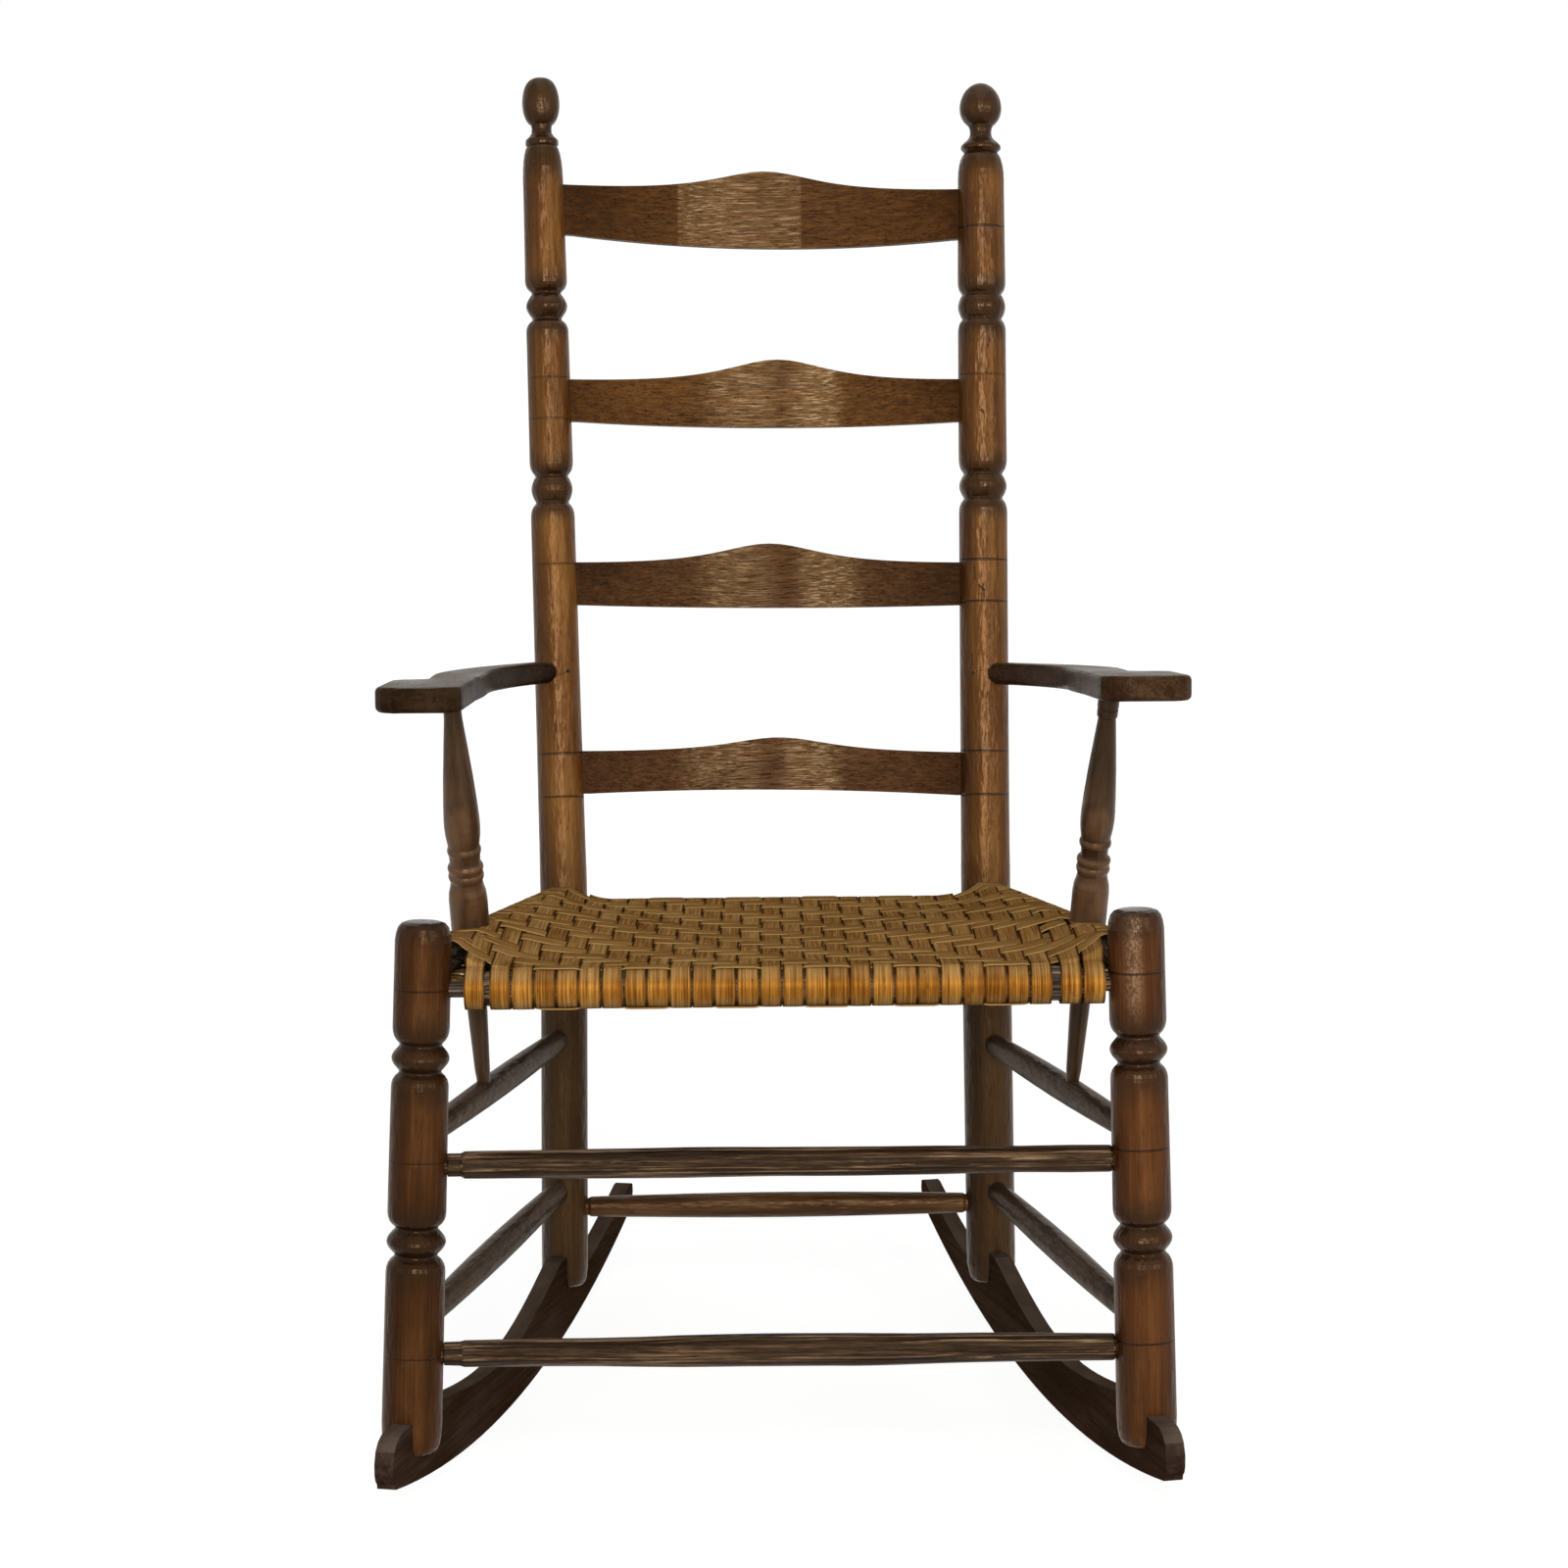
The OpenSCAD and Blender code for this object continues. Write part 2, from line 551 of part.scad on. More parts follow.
// Outer edge of the hand rest: round front corner, straight side, round rear shoulder
// and a hollow that leads into the narrower arm
neck_y = 112;
arm_out = function(k, y)
    let (x = pick(arm_x, k), hand_x = x + pick(hand_reach, k))
    y < -4 ? hand_x - 26 * (1 - sqrt(1 - pow((-4 - y) / 24, 2)))
    : y < 85 ? hand_x
    : y < 97 ? hand_x - 12 + 12 * sqrt(1 - pow((y - 85) / 12, 2))
    : y < neck_y ? x + 18.1 + (hand_x - x - 30.1) * (1 - sqrt(1 - pow((neck_y - y) / 15, 2)))
    : arm_mid(k, y) + arm_half(y);
arm_in = function(k, y)
    let (x = pick(arm_x, k) - 18.6)
    y < -6 ? x + 24 * (1 - sqrt(1 - pow((-6 - y) / 22, 2)))
    : y < neck_y ? x
    : arm_mid(k, y) - arm_half(y);

// Cuts across the arm: close together where the outline turns, even steps behind the neck
arm_cuts = concat(
    [-28, -27.6, -26.4, -23.5, -18.5, -12, -4, 28, 60, 80, 86, 90, 93.5, 96, 97.2, 98.8, 102, 106.5],
    [for (i = [0:14]) neck_y + (arm_rear_y - neck_y) * i / 14]);

// One cut is a box with round corners, which grow until it is round at the tenon
arm_cut = function(k, y)
    let (x0 = arm_in(k, y), x1 = arm_out(k, y), m = (x0 + x1) / 2, w = (x1 - x0) / 2,
        nose = y < -24 ? 3.4 * (1 - sqrt(1 - pow((-24 - y) / 4, 2))) : 0,
        h = arm_t / 2 - nose,
        full = arm_t / 2 - 0.5,
        turn = pow(max(0, (y - arm_round_y) / (arm_rear_y - arm_round_y)), 1.5),
        r = min(h - 0.3, arm_edge_r + (full - arm_edge_r) * turn))
    [for (c = [0:3]) for (i = [0:3]) let (a = 90 * c + 30 * i)
        [m + (c == 0 || c == 3 ? w - r : r - w) + r * cos(a), y,
            (c < 2 ? h - r : r - h) + r * sin(a) - arm_t / 2]];

module arm_board(k) {
    n = len(arm_cuts);
    m = 16;
    polyhedron(
        [for (y = arm_cuts) each arm_cut(k, y)],
        concat(
            [[for (i = [m - 1:-1:0]) i]],
            [for (j = [0:n - 2]) for (i = [0:m - 1])
                [j * m + i, (j + 1) * m + (i + 1) % m, (j + 1) * m + i]],
            [for (j = [0:n - 2]) for (i = [0:m - 1])
                [j * m + i, j * m + (i + 1) % m, (j + 1) * m + (i + 1) % m]],
            [[for (i = [0:m - 1]) (n - 1) * m + i]]));
}

module arm(k) {
    difference() {
        union() {
            arm_frame(k)
                mirror([k < 0 ? 1 : 0, 0, 0])
                    arm_board(k);
            along(post_hit(k), arm_tail(k))
                translate([0, 0, 2])
                    cylinder(d = arm_tenon_d, h = 36);
        }
        // blind hole for the spindle's tenon
        along(spindle_foot(k), spindle_head(k))
            translate([0, 0, norm(spindle_head(k) - spindle_foot(k)) - 14])
                cylinder(d = 11 + 2 * fit, h = 23.7);
        arm_pin(k, fit);
    }
}

// A small nail through the rear post and the arm tenon, driven from the front
module arm_pin(k, extra) {
    p = post_hit(k);
    a = [p[0] - k * 10.5, p[1] - 17.2, p[2] + 1.5];
    b = [p[0] + k * 5.5, p[1] + 6, p[2] - 1];
    along(a, b)
        translate([0, 0, -0.4 - 4 * extra])
            cylinder(d = 2.8 + 2 * extra, h = 24 + 6 * extra, $fn = 24);
}

// Rockers

// A rocker lies in its own upright plane: S along it and Z up. This places that plane.
module rocker_frame(k) {
    translate([k * foot_front(k), 0, 0])
        mirror([k < 0 ? 1 : 0, 0, 0])
            rotate([0, 0, 90 + toe(k)])
                rotate([90, 0, 0])
                    children();
}

module rocker_slot(k, s, i) {
    rocker_frame(k)
        translate([s - 60, -40, -rocker_t / 2 - fit])
            cube([120, rocker_seat_z[i] + 40 + end_gap, rocker_t + 2 * fit]);
}

// Top edge: a flat seat at each post, a scoop between them and a lower tail
scoop = function(t) rocker_seat_z[0] + (rocker_seat_z[1] - rocker_seat_z[0]) * pow(t, 1.25)
    - rocker_scoop * sin(180 * pow(t, 1.08));
tail_top = function(s) arc_z(s) + 27 - 5 * (s - 440) / 140;

module rocker(k) {
    n = rocker_nose;
    z0 = rocker_seat_z[0];
    z1 = rocker_seat_z[1];
    e = rocker_tail;
    rocker_frame(k)
        translate([0, 0, -rocker_t / 2])
            linear_extrude(height = rocker_t)
                intersection() {
                    polygon(concat(
                        [[-n + 12, -20], [-n + 4.5, arc_z(-n) + 2.5], [-n + 1.5, arc_z(-n) + 5.5]],
                        [[-n, arc_z(-n) + 10]],
                        [[-n, arc_z(-n) + 18], [-n + 3, z0 - 9], [-n + 8, z0 - 4], [-n + 15, z0 - 1]],
                        [[-n + 22, z0], [40, z0]],
                        [for (i = [0:18]) let (t = i / 18) [46 + (rear_s - 80) * t, scoop(t)]],
                        [[rear_s + 22, z1], [rear_s + 27, z1 - 1.5], [rear_s + 32, z1 - 7]],
                        [[rear_s + 37, tail_top(rear_s + 37) + 3.4]],
                        [[rear_s + 44, tail_top(rear_s + 44) + 0.8]],
                        [for (i = [0:6]) let (s = rear_s + 52 + (e - 64 - rear_s) * i / 6)
                            [s, tail_top(s)]],
                        [[e - 5, tail_top(e - 5) - 2], [e - 1, arc_z(e) + 17], [e, arc_z(e) + 11]],
                        [[e - 1, arc_z(e) + 7], [e - 3.5, arc_z(e) + 3.5], [e - 14, -20]]));
                    translate([rocker_low, rocker_r])
                        circle(r = rocker_r, $fn = 720);
                }
}

// Woven seat

// A hollow splint envelope round the four rails. Its middle surface follows the rails at
// the edges and dips to the middle; rim points go round the rails in 22.5 degree steps.
side_toe = atan((front_width - rear_width) / 2 / seat_depth);
rail_half = function(y) front_width / 2 - tan(side_toe) * y;
edge_steps = [0, 0.25, 0.5, 0.75];
mid_a = [-1, -0.93, -0.86, -0.62, -0.32, 0, 0.32, 0.62, 0.86, 0.93, 1];
mid_b = [0, 0.06, 0.14, 0.28, 0.42, 0.58, 0.72, 0.86, 0.94, 1];

// Across: [inner share of the half width, rim offset share, height share]
cols = concat(
    [for (p = edge_steps) [-1, -cos(90 * p), sin(90 * p)]],
    [for (a = mid_a) [a, 0, 1]],
    [for (i = [3:-1:0]) [1, cos(90 * edge_steps[i]), sin(90 * edge_steps[i])]]);
rows = concat(
    [for (p = edge_steps) [0, -cos(90 * p), sin(90 * p)]],
    [for (b = mid_b) [b, 0, 1]],
    [for (i = [3:-1:0]) [1, cos(90 * edge_steps[i]), sin(90 * edge_steps[i])]]);
nc = len(cols);
nr = len(rows);

// Height of the middle surface at share a across and share b back. It lies flat over the
// side rails, then falls steeply near the front and rear rails and gently between them.
over_side = 0.93;
seat_mid = function(a, b)
    let (end = b <= 0 || b >= 1,
        p = end ? 70 : 2 + 16 * pow(abs(2 * b - 1), 3),
        u = end ? abs(a) : min(1, abs(a) / over_side),
        line = rail_front_z + (rail_rear_z - rail_front_z) * b,
        side = side_rail_z[0] + (side_rail_z[1] - side_rail_z[0]) * b)
    line + (side - line) * pow(u, p) - seat_sag * (1 - a * a) * 4 * b * (1 - b);

seat_pt = function(i, j, rim, up)
    let (c = cols[i], r = rows[j])
    [c[0] * rail_half(seat_depth * r[0]) + rim * c[1] / cos(side_toe),
        seat_depth * r[0] + rim * r[1],
        seat_mid(c[0], r[0]) + up * rim * c[2] * r[2]];

// Top sheet then bottom sheet; the two share the outermost ring of points
module pillow(rim) {
    pts = concat(
        [for (j = [0:nr - 1]) for (i = [0:nc - 1]) seat_pt(i, j, rim, 1)],
        [for (j = [1:nr - 2]) for (i = [1:nc - 2]) seat_pt(i, j, rim, -1)]);
    top = function(i, j) j * nc + i;
    low = function(i, j) i == 0 || j == 0 || i == nc - 1 || j == nr - 1
        ? top(i, j) : nc * nr + (j - 1) * (nc - 2) + i - 1;
    polyhedron(pts, concat(
        [for (j = [0:nr - 2]) for (i = [0:nc - 2]) [top(i, j), top(i + 1, j + 1), top(i + 1, j)]],
        [for (j = [0:nr - 2]) for (i = [0:nc - 2]) [top(i, j), top(i, j + 1), top(i + 1, j + 1)]],
        [for (j = [0:nr - 2]) for (i = [0:nc - 2]) [low(i, j), low(i + 1, j), low(i + 1, j + 1)]],
        [for (j = [0:nr - 2]) for (i = [0:nc - 2]) [low(i, j), low(i + 1, j + 1), low(i, j + 1)]]));
}

// The quarter outside a post at p, where no splint runs. k is its side; j is -1 in front
module outer_quarter(p, k, j) {
    reach = 40;
    translate([p[0] - (k < 0 ? reach : 0), p[1] - (j < 0 ? reach : 0), 300])
        cube([reach, reach, 160]);
}

module woven_seat_body() {
    // the inner rim is a 16 sided ring, so its corners stand out past its flats
    inner = (max(rail_d, side_rail_d) / 2 + seat_gap) / cos(11.25);
    difference() {
        pillow(inner + seat_skin);
        pillow(inner);
        for (k = [-1, 1]) {
            along(fp(k, 320), fp(k, 440))
                cylinder(r = fr + post_gap, h = 120);
            outer_quarter(fp(k, rail_front_z), k, -1);
            outer_quarter(kink(k), k, 1);
            along(rp(k, 310), kink(k))
                cylinder(r = pick(rear_post_d, k) / 2 + post_gap, h = 90);
            along(kink(k) - 8 * up_dir(k), up_pt(k, 60))
                cylinder(r = pick(rear_post_d, k) / 2 + post_gap, h = 60);
            along(spindle_foot(k), spindle_head(k)) {
                cylinder(d = spindle_shank_d + 3, h = rail_pass(k));
                translate([0, 0, rail_pass(k) - 4])
                    cylinder(r = 14.9, h = 60);
            }
        }
    }
}

// One module per node

module rear_post_left() { color(chestnut) rest() rear_post(-1); }
module rear_post_right() { color(chestnut) rest() rear_post(1); }
module front_post_left() { color(walnut) rest() front_post(-1); }
module front_post_right() { color(walnut) rest() front_post(1); }
module top_slat() { color(oak) rest() slat_body(0, 0, 0); }
module second_slat() { color(oak) rest() slat_body(1, 0, 0); }
module third_slat() { color(oak) rest() slat_body(2, 0, 0); }
module bottom_slat() { color(oak) rest() slat_body(3, 0, 0); }
module arm_left() { color(walnut) rest() arm(-1); }
module arm_right() { color(walnut) rest() arm(1); }
module arm_spindle_left() { color(walnut) rest() arm_spindle(-1); }
module arm_spindle_right() { color(walnut) rest() arm_spindle(1); }
module arm_pins() {
    color(iron) rest() {
        arm_pin(-1, 0);
        arm_pin(1, 0);
    }
}
module seat_rail_front() {
    color(walnut) rest() seat_rail(rlf[0], rlf[1], front_e, fr, fr, rail_d);
}
module seat_rail_rear() {
    color(walnut) rest()
        seat_rail(rlr[0], rlr[1], rear_e, rear_post_d[0] / 2, rear_post_d[1] / 2, rail_d);
}
module seat_rail_left() { color(walnut) rest() side_rail(-1); }
module seat_rail_right() { color(walnut) rest() side_rail(1); }
module front_stretcher_upper() {
    color(walnut) rest()
        stick(fru[0], fru[1], front_e, fr, fr, 9, 0, rung_tenon_d, 16.6, 19.4, front_rung_d[0]);
}
module front_stretcher_lower() {
    color(walnut) rest()
        stick(frl[0], frl[1], front_e, fr_low, fr_low, 11, 0, rung_tenon_d, 16.6, 19.4, front_rung_d[1]);
}
module rear_stretcher() {
    color(walnut) rest()
        stick(rru[0], rru[1], rear_e, rear_post_d[0] / 2, rear_post_d[1] / 2, 0, 0,
            rung_tenon_d, 16, 16.4, rear_rung_d);
}
module side_stretcher_left_upper() {
    color(walnut) rest() difference() {
        side_stretcher(-1, 0);
        hole(spindle_foot(-1), spindle_head(-1), 3.4, 10, 30);
    }
}
module side_stretcher_right_upper() {
    color(walnut) rest() difference() {
        side_stretcher(1, 0);
        hole(spindle_foot(1), spindle_head(1), 3.4, 10, 30);
    }
}
module side_stretcher_left_lower() { color(walnut) rest() side_stretcher(-1, 1); }
module side_stretcher_right_lower() { color(walnut) rest() side_stretcher(1, 1); }
module rocker_left() { color(walnut) rest() rocker(-1); }
module rocker_right() { color(walnut) rest() rocker(1); }
module woven_seat() { color(splint) rest() woven_seat_body(); }

rear_post_left();
rear_post_right();
front_post_left();
front_post_right();
top_slat();
second_slat();
third_slat();
bottom_slat();
arm_left();
arm_right();
arm_spindle_left();
arm_spindle_right();
arm_pins();
seat_rail_front();
seat_rail_rear();
seat_rail_left();
seat_rail_right();
front_stretcher_upper();
front_stretcher_lower();
rear_stretcher();
side_stretcher_left_upper();
side_stretcher_left_lower();
side_stretcher_right_upper();
side_stretcher_right_lower();
rocker_left();
rocker_right();
woven_seat();
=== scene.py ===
import bpy
import numpy as np
from mathutils import Matrix, Vector


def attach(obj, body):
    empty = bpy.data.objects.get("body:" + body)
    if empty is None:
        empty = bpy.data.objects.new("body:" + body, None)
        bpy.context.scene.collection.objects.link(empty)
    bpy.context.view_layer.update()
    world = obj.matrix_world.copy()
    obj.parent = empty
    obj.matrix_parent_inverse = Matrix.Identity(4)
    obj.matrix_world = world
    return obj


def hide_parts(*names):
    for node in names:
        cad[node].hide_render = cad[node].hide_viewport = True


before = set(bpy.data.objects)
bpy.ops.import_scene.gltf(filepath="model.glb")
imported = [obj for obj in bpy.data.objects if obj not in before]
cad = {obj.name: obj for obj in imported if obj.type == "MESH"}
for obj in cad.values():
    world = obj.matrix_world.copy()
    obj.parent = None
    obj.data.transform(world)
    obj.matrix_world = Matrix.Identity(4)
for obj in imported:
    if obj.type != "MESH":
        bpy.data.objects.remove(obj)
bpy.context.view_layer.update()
scene = bpy.context.scene
scene.view_settings.view_transform = "Standard"


# The camera stands as high as the finials, 2.5 m in front, and looks 12 degrees down. It is
# turned a touch to the right and its picture is tilted by less than half a degree.
pitch, yaw, roll = np.radians([11.9, 0.633, 0.4])
ahead = Vector((np.sin(yaw) * np.cos(pitch), np.cos(yaw) * np.cos(pitch), -np.sin(pitch)))
level = Vector((np.cos(yaw), -np.sin(yaw), 0))
upright = level.cross(ahead)
right = level * np.cos(roll) - upright * np.sin(roll)
top = level * np.sin(roll) + upright * np.cos(roll)
tripod = (-0.0217, -2.5287, 1.0155)
lens_mm, frame_mm = 77.625, 36
camera = bpy.data.objects.new("camera", bpy.data.cameras.new("camera"))
camera.data.lens = lens_mm
camera.data.sensor_width = frame_mm
turned = Matrix((right, top, -ahead)).transposed().to_4x4()
camera.matrix_world = Matrix.Translation(tripod) @ turned
scene.collection.objects.link(camera)
scene.camera = camera


# The studio: a pale floor that keeps the chair's soft shadow and a white surround, with a
# tall window-like lamp behind the camera, weaker ones from the right, the left and overhead,
# and one behind the chair that lights its back and shows in no gloss.
class Finish:
    """A material, or the surround, being built. Its methods add nodes, link what they are
    given and return the last node's output."""

    def __init__(self, name, store=bpy.data.materials, end="OutputMaterial"):
        self.material = store.new(name)
        self.material.use_nodes = True
        self.tree = self.material.node_tree
        self.tree.nodes.clear()
        self.out = self.tree.nodes.new("ShaderNode" + end)

    def node(self, kind, values=(), out=0, **settings):
        """One node of that kind: settings are its own options, values its inputs."""
        made = self.tree.nodes.new("ShaderNode" + kind)
        for key, value in settings.items():
            setattr(made, key, value)
        for key, value in dict(values).items():
            if isinstance(value, bpy.types.NodeSocket):
                self.tree.links.new(value, made.inputs[key])
            else:
                made.inputs[key].default_value = value
        return made.outputs[out]

    def math(self, operation, a, b=0.0, c=0.0):
        """a and b (and c) joined by one operation."""
        return self.node("Math", {0: a, 1: b, 2: c}, operation=operation)

    def apart(self, value, mark):
        """How far value is from mark, either way."""
        return self.math("ABSOLUTE", self.math("SUBTRACT", value, mark))

    def span(self, value, low, high, to_low=0.0, to_high=1.0):
        """Eases from to_low to to_high while value runs from low to high."""
        return self.node("MapRange", {"Value": value, "From Min": low, "From Max": high,
                                      "To Min": to_low, "To Max": to_high},
                         interpolation_type="SMOOTHSTEP")

    def noise(self, place, detail=3.0, roughness=0.5, curl=0.0):
        """Cloud noise with one cell to each unit of place, from 0 to 1."""
        return self.node("TexNoise", {"Vector": place, "Scale": 1.0, "Detail": detail,
                                      "Roughness": roughness, "Distortion": curl})

    def times(self, place, by):
        """The three parts of place, each multiplied by its own part of by."""
        return self.node("VectorMath", {0: place, 1: by}, operation="MULTIPLY")

    def stretch(self, place, across, along):
        """place with across cells to the metre over the grain and along cells with it."""
        return self.times(place, (across, across, along))

    def ramp(self, share, stops):
        """Colours at given shares, blended in between."""
        made = self.tree.nodes.new("ShaderNodeValToRGB")
        bar = made.color_ramp.elements
        while len(bar) < len(stops):
            bar.new(0.5)
        for element, (at, colour) in zip(bar, stops):
            element.position = at
            element.color = (*colour, 1)
        self.tree.links.new(share, made.inputs[0])
        return made.outputs[0]

    def mix(self, share, a, b, how="MIX"):
        """Colour a turned towards b by share."""
        a, b = ((*v, 1) if isinstance(v, tuple) else v for v in (a, b))
        return self.node("Mix", {0: share, 6: a, 7: b}, out=2, data_type="RGBA",
                         blend_type=how)

    def stain(self, colour, share, most, ink):
        """colour turned towards ink by most where share is 1."""
        return self.mix(self.math("MULTIPLY", share, most), colour, ink)

    def shade(self, colour, share, film):
        """colour seen through a coloured film, multiplied by it, where share is 1."""
        return self.mix(share, colour, self.mix(1.0, colour, film, "MULTIPLY"))

    def looked_at(self):
        """1 when the camera, a gloss or a clear piece looks at it, 0 when light meets it."""
        ray = self.node("LightPath").node
        return self.math("MAXIMUM", ray.outputs["Is Camera Ray"], self.math(
            "MAXIMUM", ray.outputs["Is Glossy Ray"], ray.outputs["Is Transmission Ray"]))

    def close(self, shader):
        """Ends the material with that shader and returns it."""
        self.tree.links.new(shader, self.out.inputs["Surface"])
        return self.material


# the surround is full white to look at and lights the chair only faintly
surround = Finish("surround", bpy.data.worlds, "OutputWorld")
scene.world = surround.close(surround.node("Background", {
    "Color": (1, 1, 1, 1), "Strength": surround.span(surround.looked_at(), 0, 1, 0.10, 1.0)}))

paper = Finish("floor_paper")
plain = paper.node("BsdfDiffuse", {"Color": (0.45, 0.44, 0.43, 1)})
# where the paper is looked at it glows almost white, and a little less round the chair,
# where a faint grey under the glow still takes the lamps and the shadow
faint = paper.node("BsdfDiffuse", {"Color": (0.22, 0.22, 0.22, 1)})
far = paper.node("VectorMath", {0: paper.node("TexCoord", out=3)}, out=1, operation="LENGTH")
glow = paper.node("Emission", {"Color": (1, 1, 1, 1),
                               "Strength": paper.span(far, 1.2, 3.0, 0.90, 1.0)})
white = paper.node("AddShader", {0: faint, 1: glow})
paper.close(paper.node("MixShader", {0: paper.looked_at(), 1: plain, 2: white}))
half_floor = 20
floor_mesh = bpy.data.meshes.new("floor")
floor_mesh.from_pydata([(half_floor * x, half_floor * y, 0) for x, y in (
    (-1, -1), (1, -1), (1, 1), (-1, 1))], [], [(0, 1, 2, 3)])
floor_mesh.materials.append(paper.material)
floor = bpy.data.objects.new("floor", floor_mesh)
scene.collection.objects.link(floor)

chair_middle = Vector((0, 0, 0.5))
for name, place, size, power, tint in (
        ("window", (-0.05, -3.4, 1.75), (0.8, 1.8), 98, (1.0, 0.97, 0.93)),
        ("side_window", (2.3, -2.3, 1.6), (1.0, 1.6), 34, (1.0, 0.96, 0.90)),
        ("left_fill", (-3.0, -1.6, 1.4), (1.2, 1.6), 7, (0.95, 0.98, 1.0)),
        ("ceiling", (0.0, -0.2, 3.2), (2.4, 2.4), 20, (1.0, 1.0, 1.0)),
        ("back_fill", (-1.2, 3.2, 1.5), (1.6, 1.6), 22, (1.0, 0.98, 0.95))):
    lamp = bpy.data.objects.new(name, bpy.data.lights.new(name, "AREA"))
    lamp.data.shape = "RECTANGLE"
    lamp.data.size, lamp.data.size_y = size
    lamp.data.energy = power
    lamp.data.color = tint
    aim = chair_middle - Vector(place)
    turned = aim.to_track_quat("-Z", "Y").to_matrix().to_4x4()
    lamp.matrix_world = Matrix.Translation(place) @ turned
    # the varnish doesn't mirror the lamp behind the chair
    lamp.visible_glossy = name != "back_fill"
    scene.collection.objects.link(lamp)


# The rear posts: two hardwood sticks turned on a lathe, bent back at the seat and stained
# a warm chestnut under old varnish. Fine scribed rings mark where the slats are let in.
LEAN = np.radians(6.2)
# how far back and up the leaned chair moves, in mm, until it stands on the floor
MOVE_BACK, MOVE_UP = -259.434, 22.562
# half the widths between the posts' axes in front and behind, and the depth between them
FRONT_HALF, REAR_HALF, DEPTH = 252.5, 172.5, 380.0
# the height of the rear posts' bend, their slope backwards above it and outwards below it
BEND_Z = 376.8
BACK_SLANT, FOOT_SPLAY = np.tan(np.radians([6.5, 0.7]))


def chair(points):
    """Points of the level chair, in mm, leaned back into the rest pose, in metres: turned
    about X by the lean, then moved so that the rocker arcs stand on the floor."""
    x, y, z = np.moveaxis(np.asarray(points, float), -1, 0)
    return np.stack([x, y * np.cos(LEAN) + z * np.sin(LEAN) + MOVE_BACK,
                     z * np.cos(LEAN) - y * np.sin(LEAN) + MOVE_UP], -1) / 1000


def axis_of(p, q, across=(1, 0, 0)):
    """A piece's own frame: its origin at p, Z towards q and X as near as may be to across.
    p, q and across are given on the level chair in mm."""
    p, q, side = (Vector(chair(v)) for v in (p, q, np.add(p, across)))
    z = (q - p).normalized()
    y = z.cross(side - p).normalized()
    turn = Matrix((y.cross(z), y, z)).transposed()
    return Matrix.Translation(p) @ turn.to_4x4()


def rear_axis(side, z):
    """A point on a rear post's axis at height z, up to the bend."""
    return np.array([side * (REAR_HALF + FOOT_SPLAY * (BEND_Z - z)), DEPTH, z])


def own_place(finish, own):
    """Object coordinates seen in a piece's own frame, in metres."""
    return finish.node("Mapping", {
        "Vector": finish.node("TexCoord", out=3), "Location": own.translation,
        "Rotation": own.to_euler("XYZ")}, vector_type="TEXTURE")


def from_axis(finish, place):
    """How far a place is from its piece's own axis: the root of x squared plus y squared."""
    return finish.node("VectorMath", {0: finish.times(place, (1, 1, 0))}, out=1,
                       operation="LENGTH")


def stained_wood(finish, place, tones, seed, fibre=1.0, pits=1.0):
    """Stained wood with its grain along Z. The tone follows three noises drawn out along
    the grain: broad streaks, fine fibres and patches of thicker stain. Pores darken it, and
    the old varnish on it has shrunk into short lengthwise wrinkles.
    Returns its colour, its roughness and its relief in mm."""
    shifted = finish.node("VectorMath", {0: place, 1: (seed, 0.37 * seed, 0.61 * seed)},
                          operation="ADD")
    streak = finish.noise(finish.stretch(shifted, 150, 5), 4, 0.6, 0.6)
    thread = finish.noise(finish.stretch(shifted, 640, 16), 3, 0.6)
    patch = finish.noise(finish.stretch(shifted, 26, 9), 3, 0.55)
    share = finish.math("MULTIPLY_ADD", streak, 0.30, finish.math(
        "MULTIPLY_ADD", thread, 0.25, finish.math("MULTIPLY", patch, 0.45)))
    colour = finish.ramp(share, [(0.40, tones[0]), (0.50, tones[1]), (0.60, tones[2])])
    pore = finish.span(finish.noise(finish.stretch(shifted, 900, 90), 2, 0.6), 0.60, 0.72)
    colour = finish.stain(colour, pore, 0.55 * pits, tuple(0.35 * c for c in tones[0]))
    dent = finish.noise(finish.stretch(shifted, 190, 60), 1, 0.5)
    wrinkle = finish.noise(finish.stretch(shifted, 480, 110), 1, 0.5)
    rough = finish.math("ADD", finish.span(patch, 0.3, 0.7, 0.28, 0.40),
                        finish.math("MULTIPLY", pore, 0.25))
    relief = finish.math("MULTIPLY_ADD", dent, 1.1 * pits, finish.math(
        "MULTIPLY_ADD", wrinkle, 0.36 * pits, finish.math(
            "MULTIPLY_ADD", pore, -0.14 * pits, finish.math("MULTIPLY", thread, 0.10 * fibre))))
    return colour, rough, relief


def varnish(finish, colour, rough, relief, gloss=0.26, tint=(1.0, 0.72, 0.48), glow=0.12):
    """Closes a finish with old varnish: gloss is a thin amber one over the relief, and glow
    a deeper one in the wood's own colour."""
    bump = finish.node("Bump", {"Strength": 1.0, "Distance": 0.001, "Height": relief})
    shader = finish.node("BsdfPrincipled", {
        "Base Color": colour, "Roughness": rough, "Normal": bump,
        "Specular IOR Level": gloss, "Specular Tint": (*tint, 1), "Metallic": glow})
    return finish.close(shader)


def wear_material(node, material):
    """Gives every slot of a CAD node's object that material."""
    slots = cad[node].material_slots
    for slot in slots:
        slot.material = material
    if not slots:
        cad[node].data.materials.append(material)


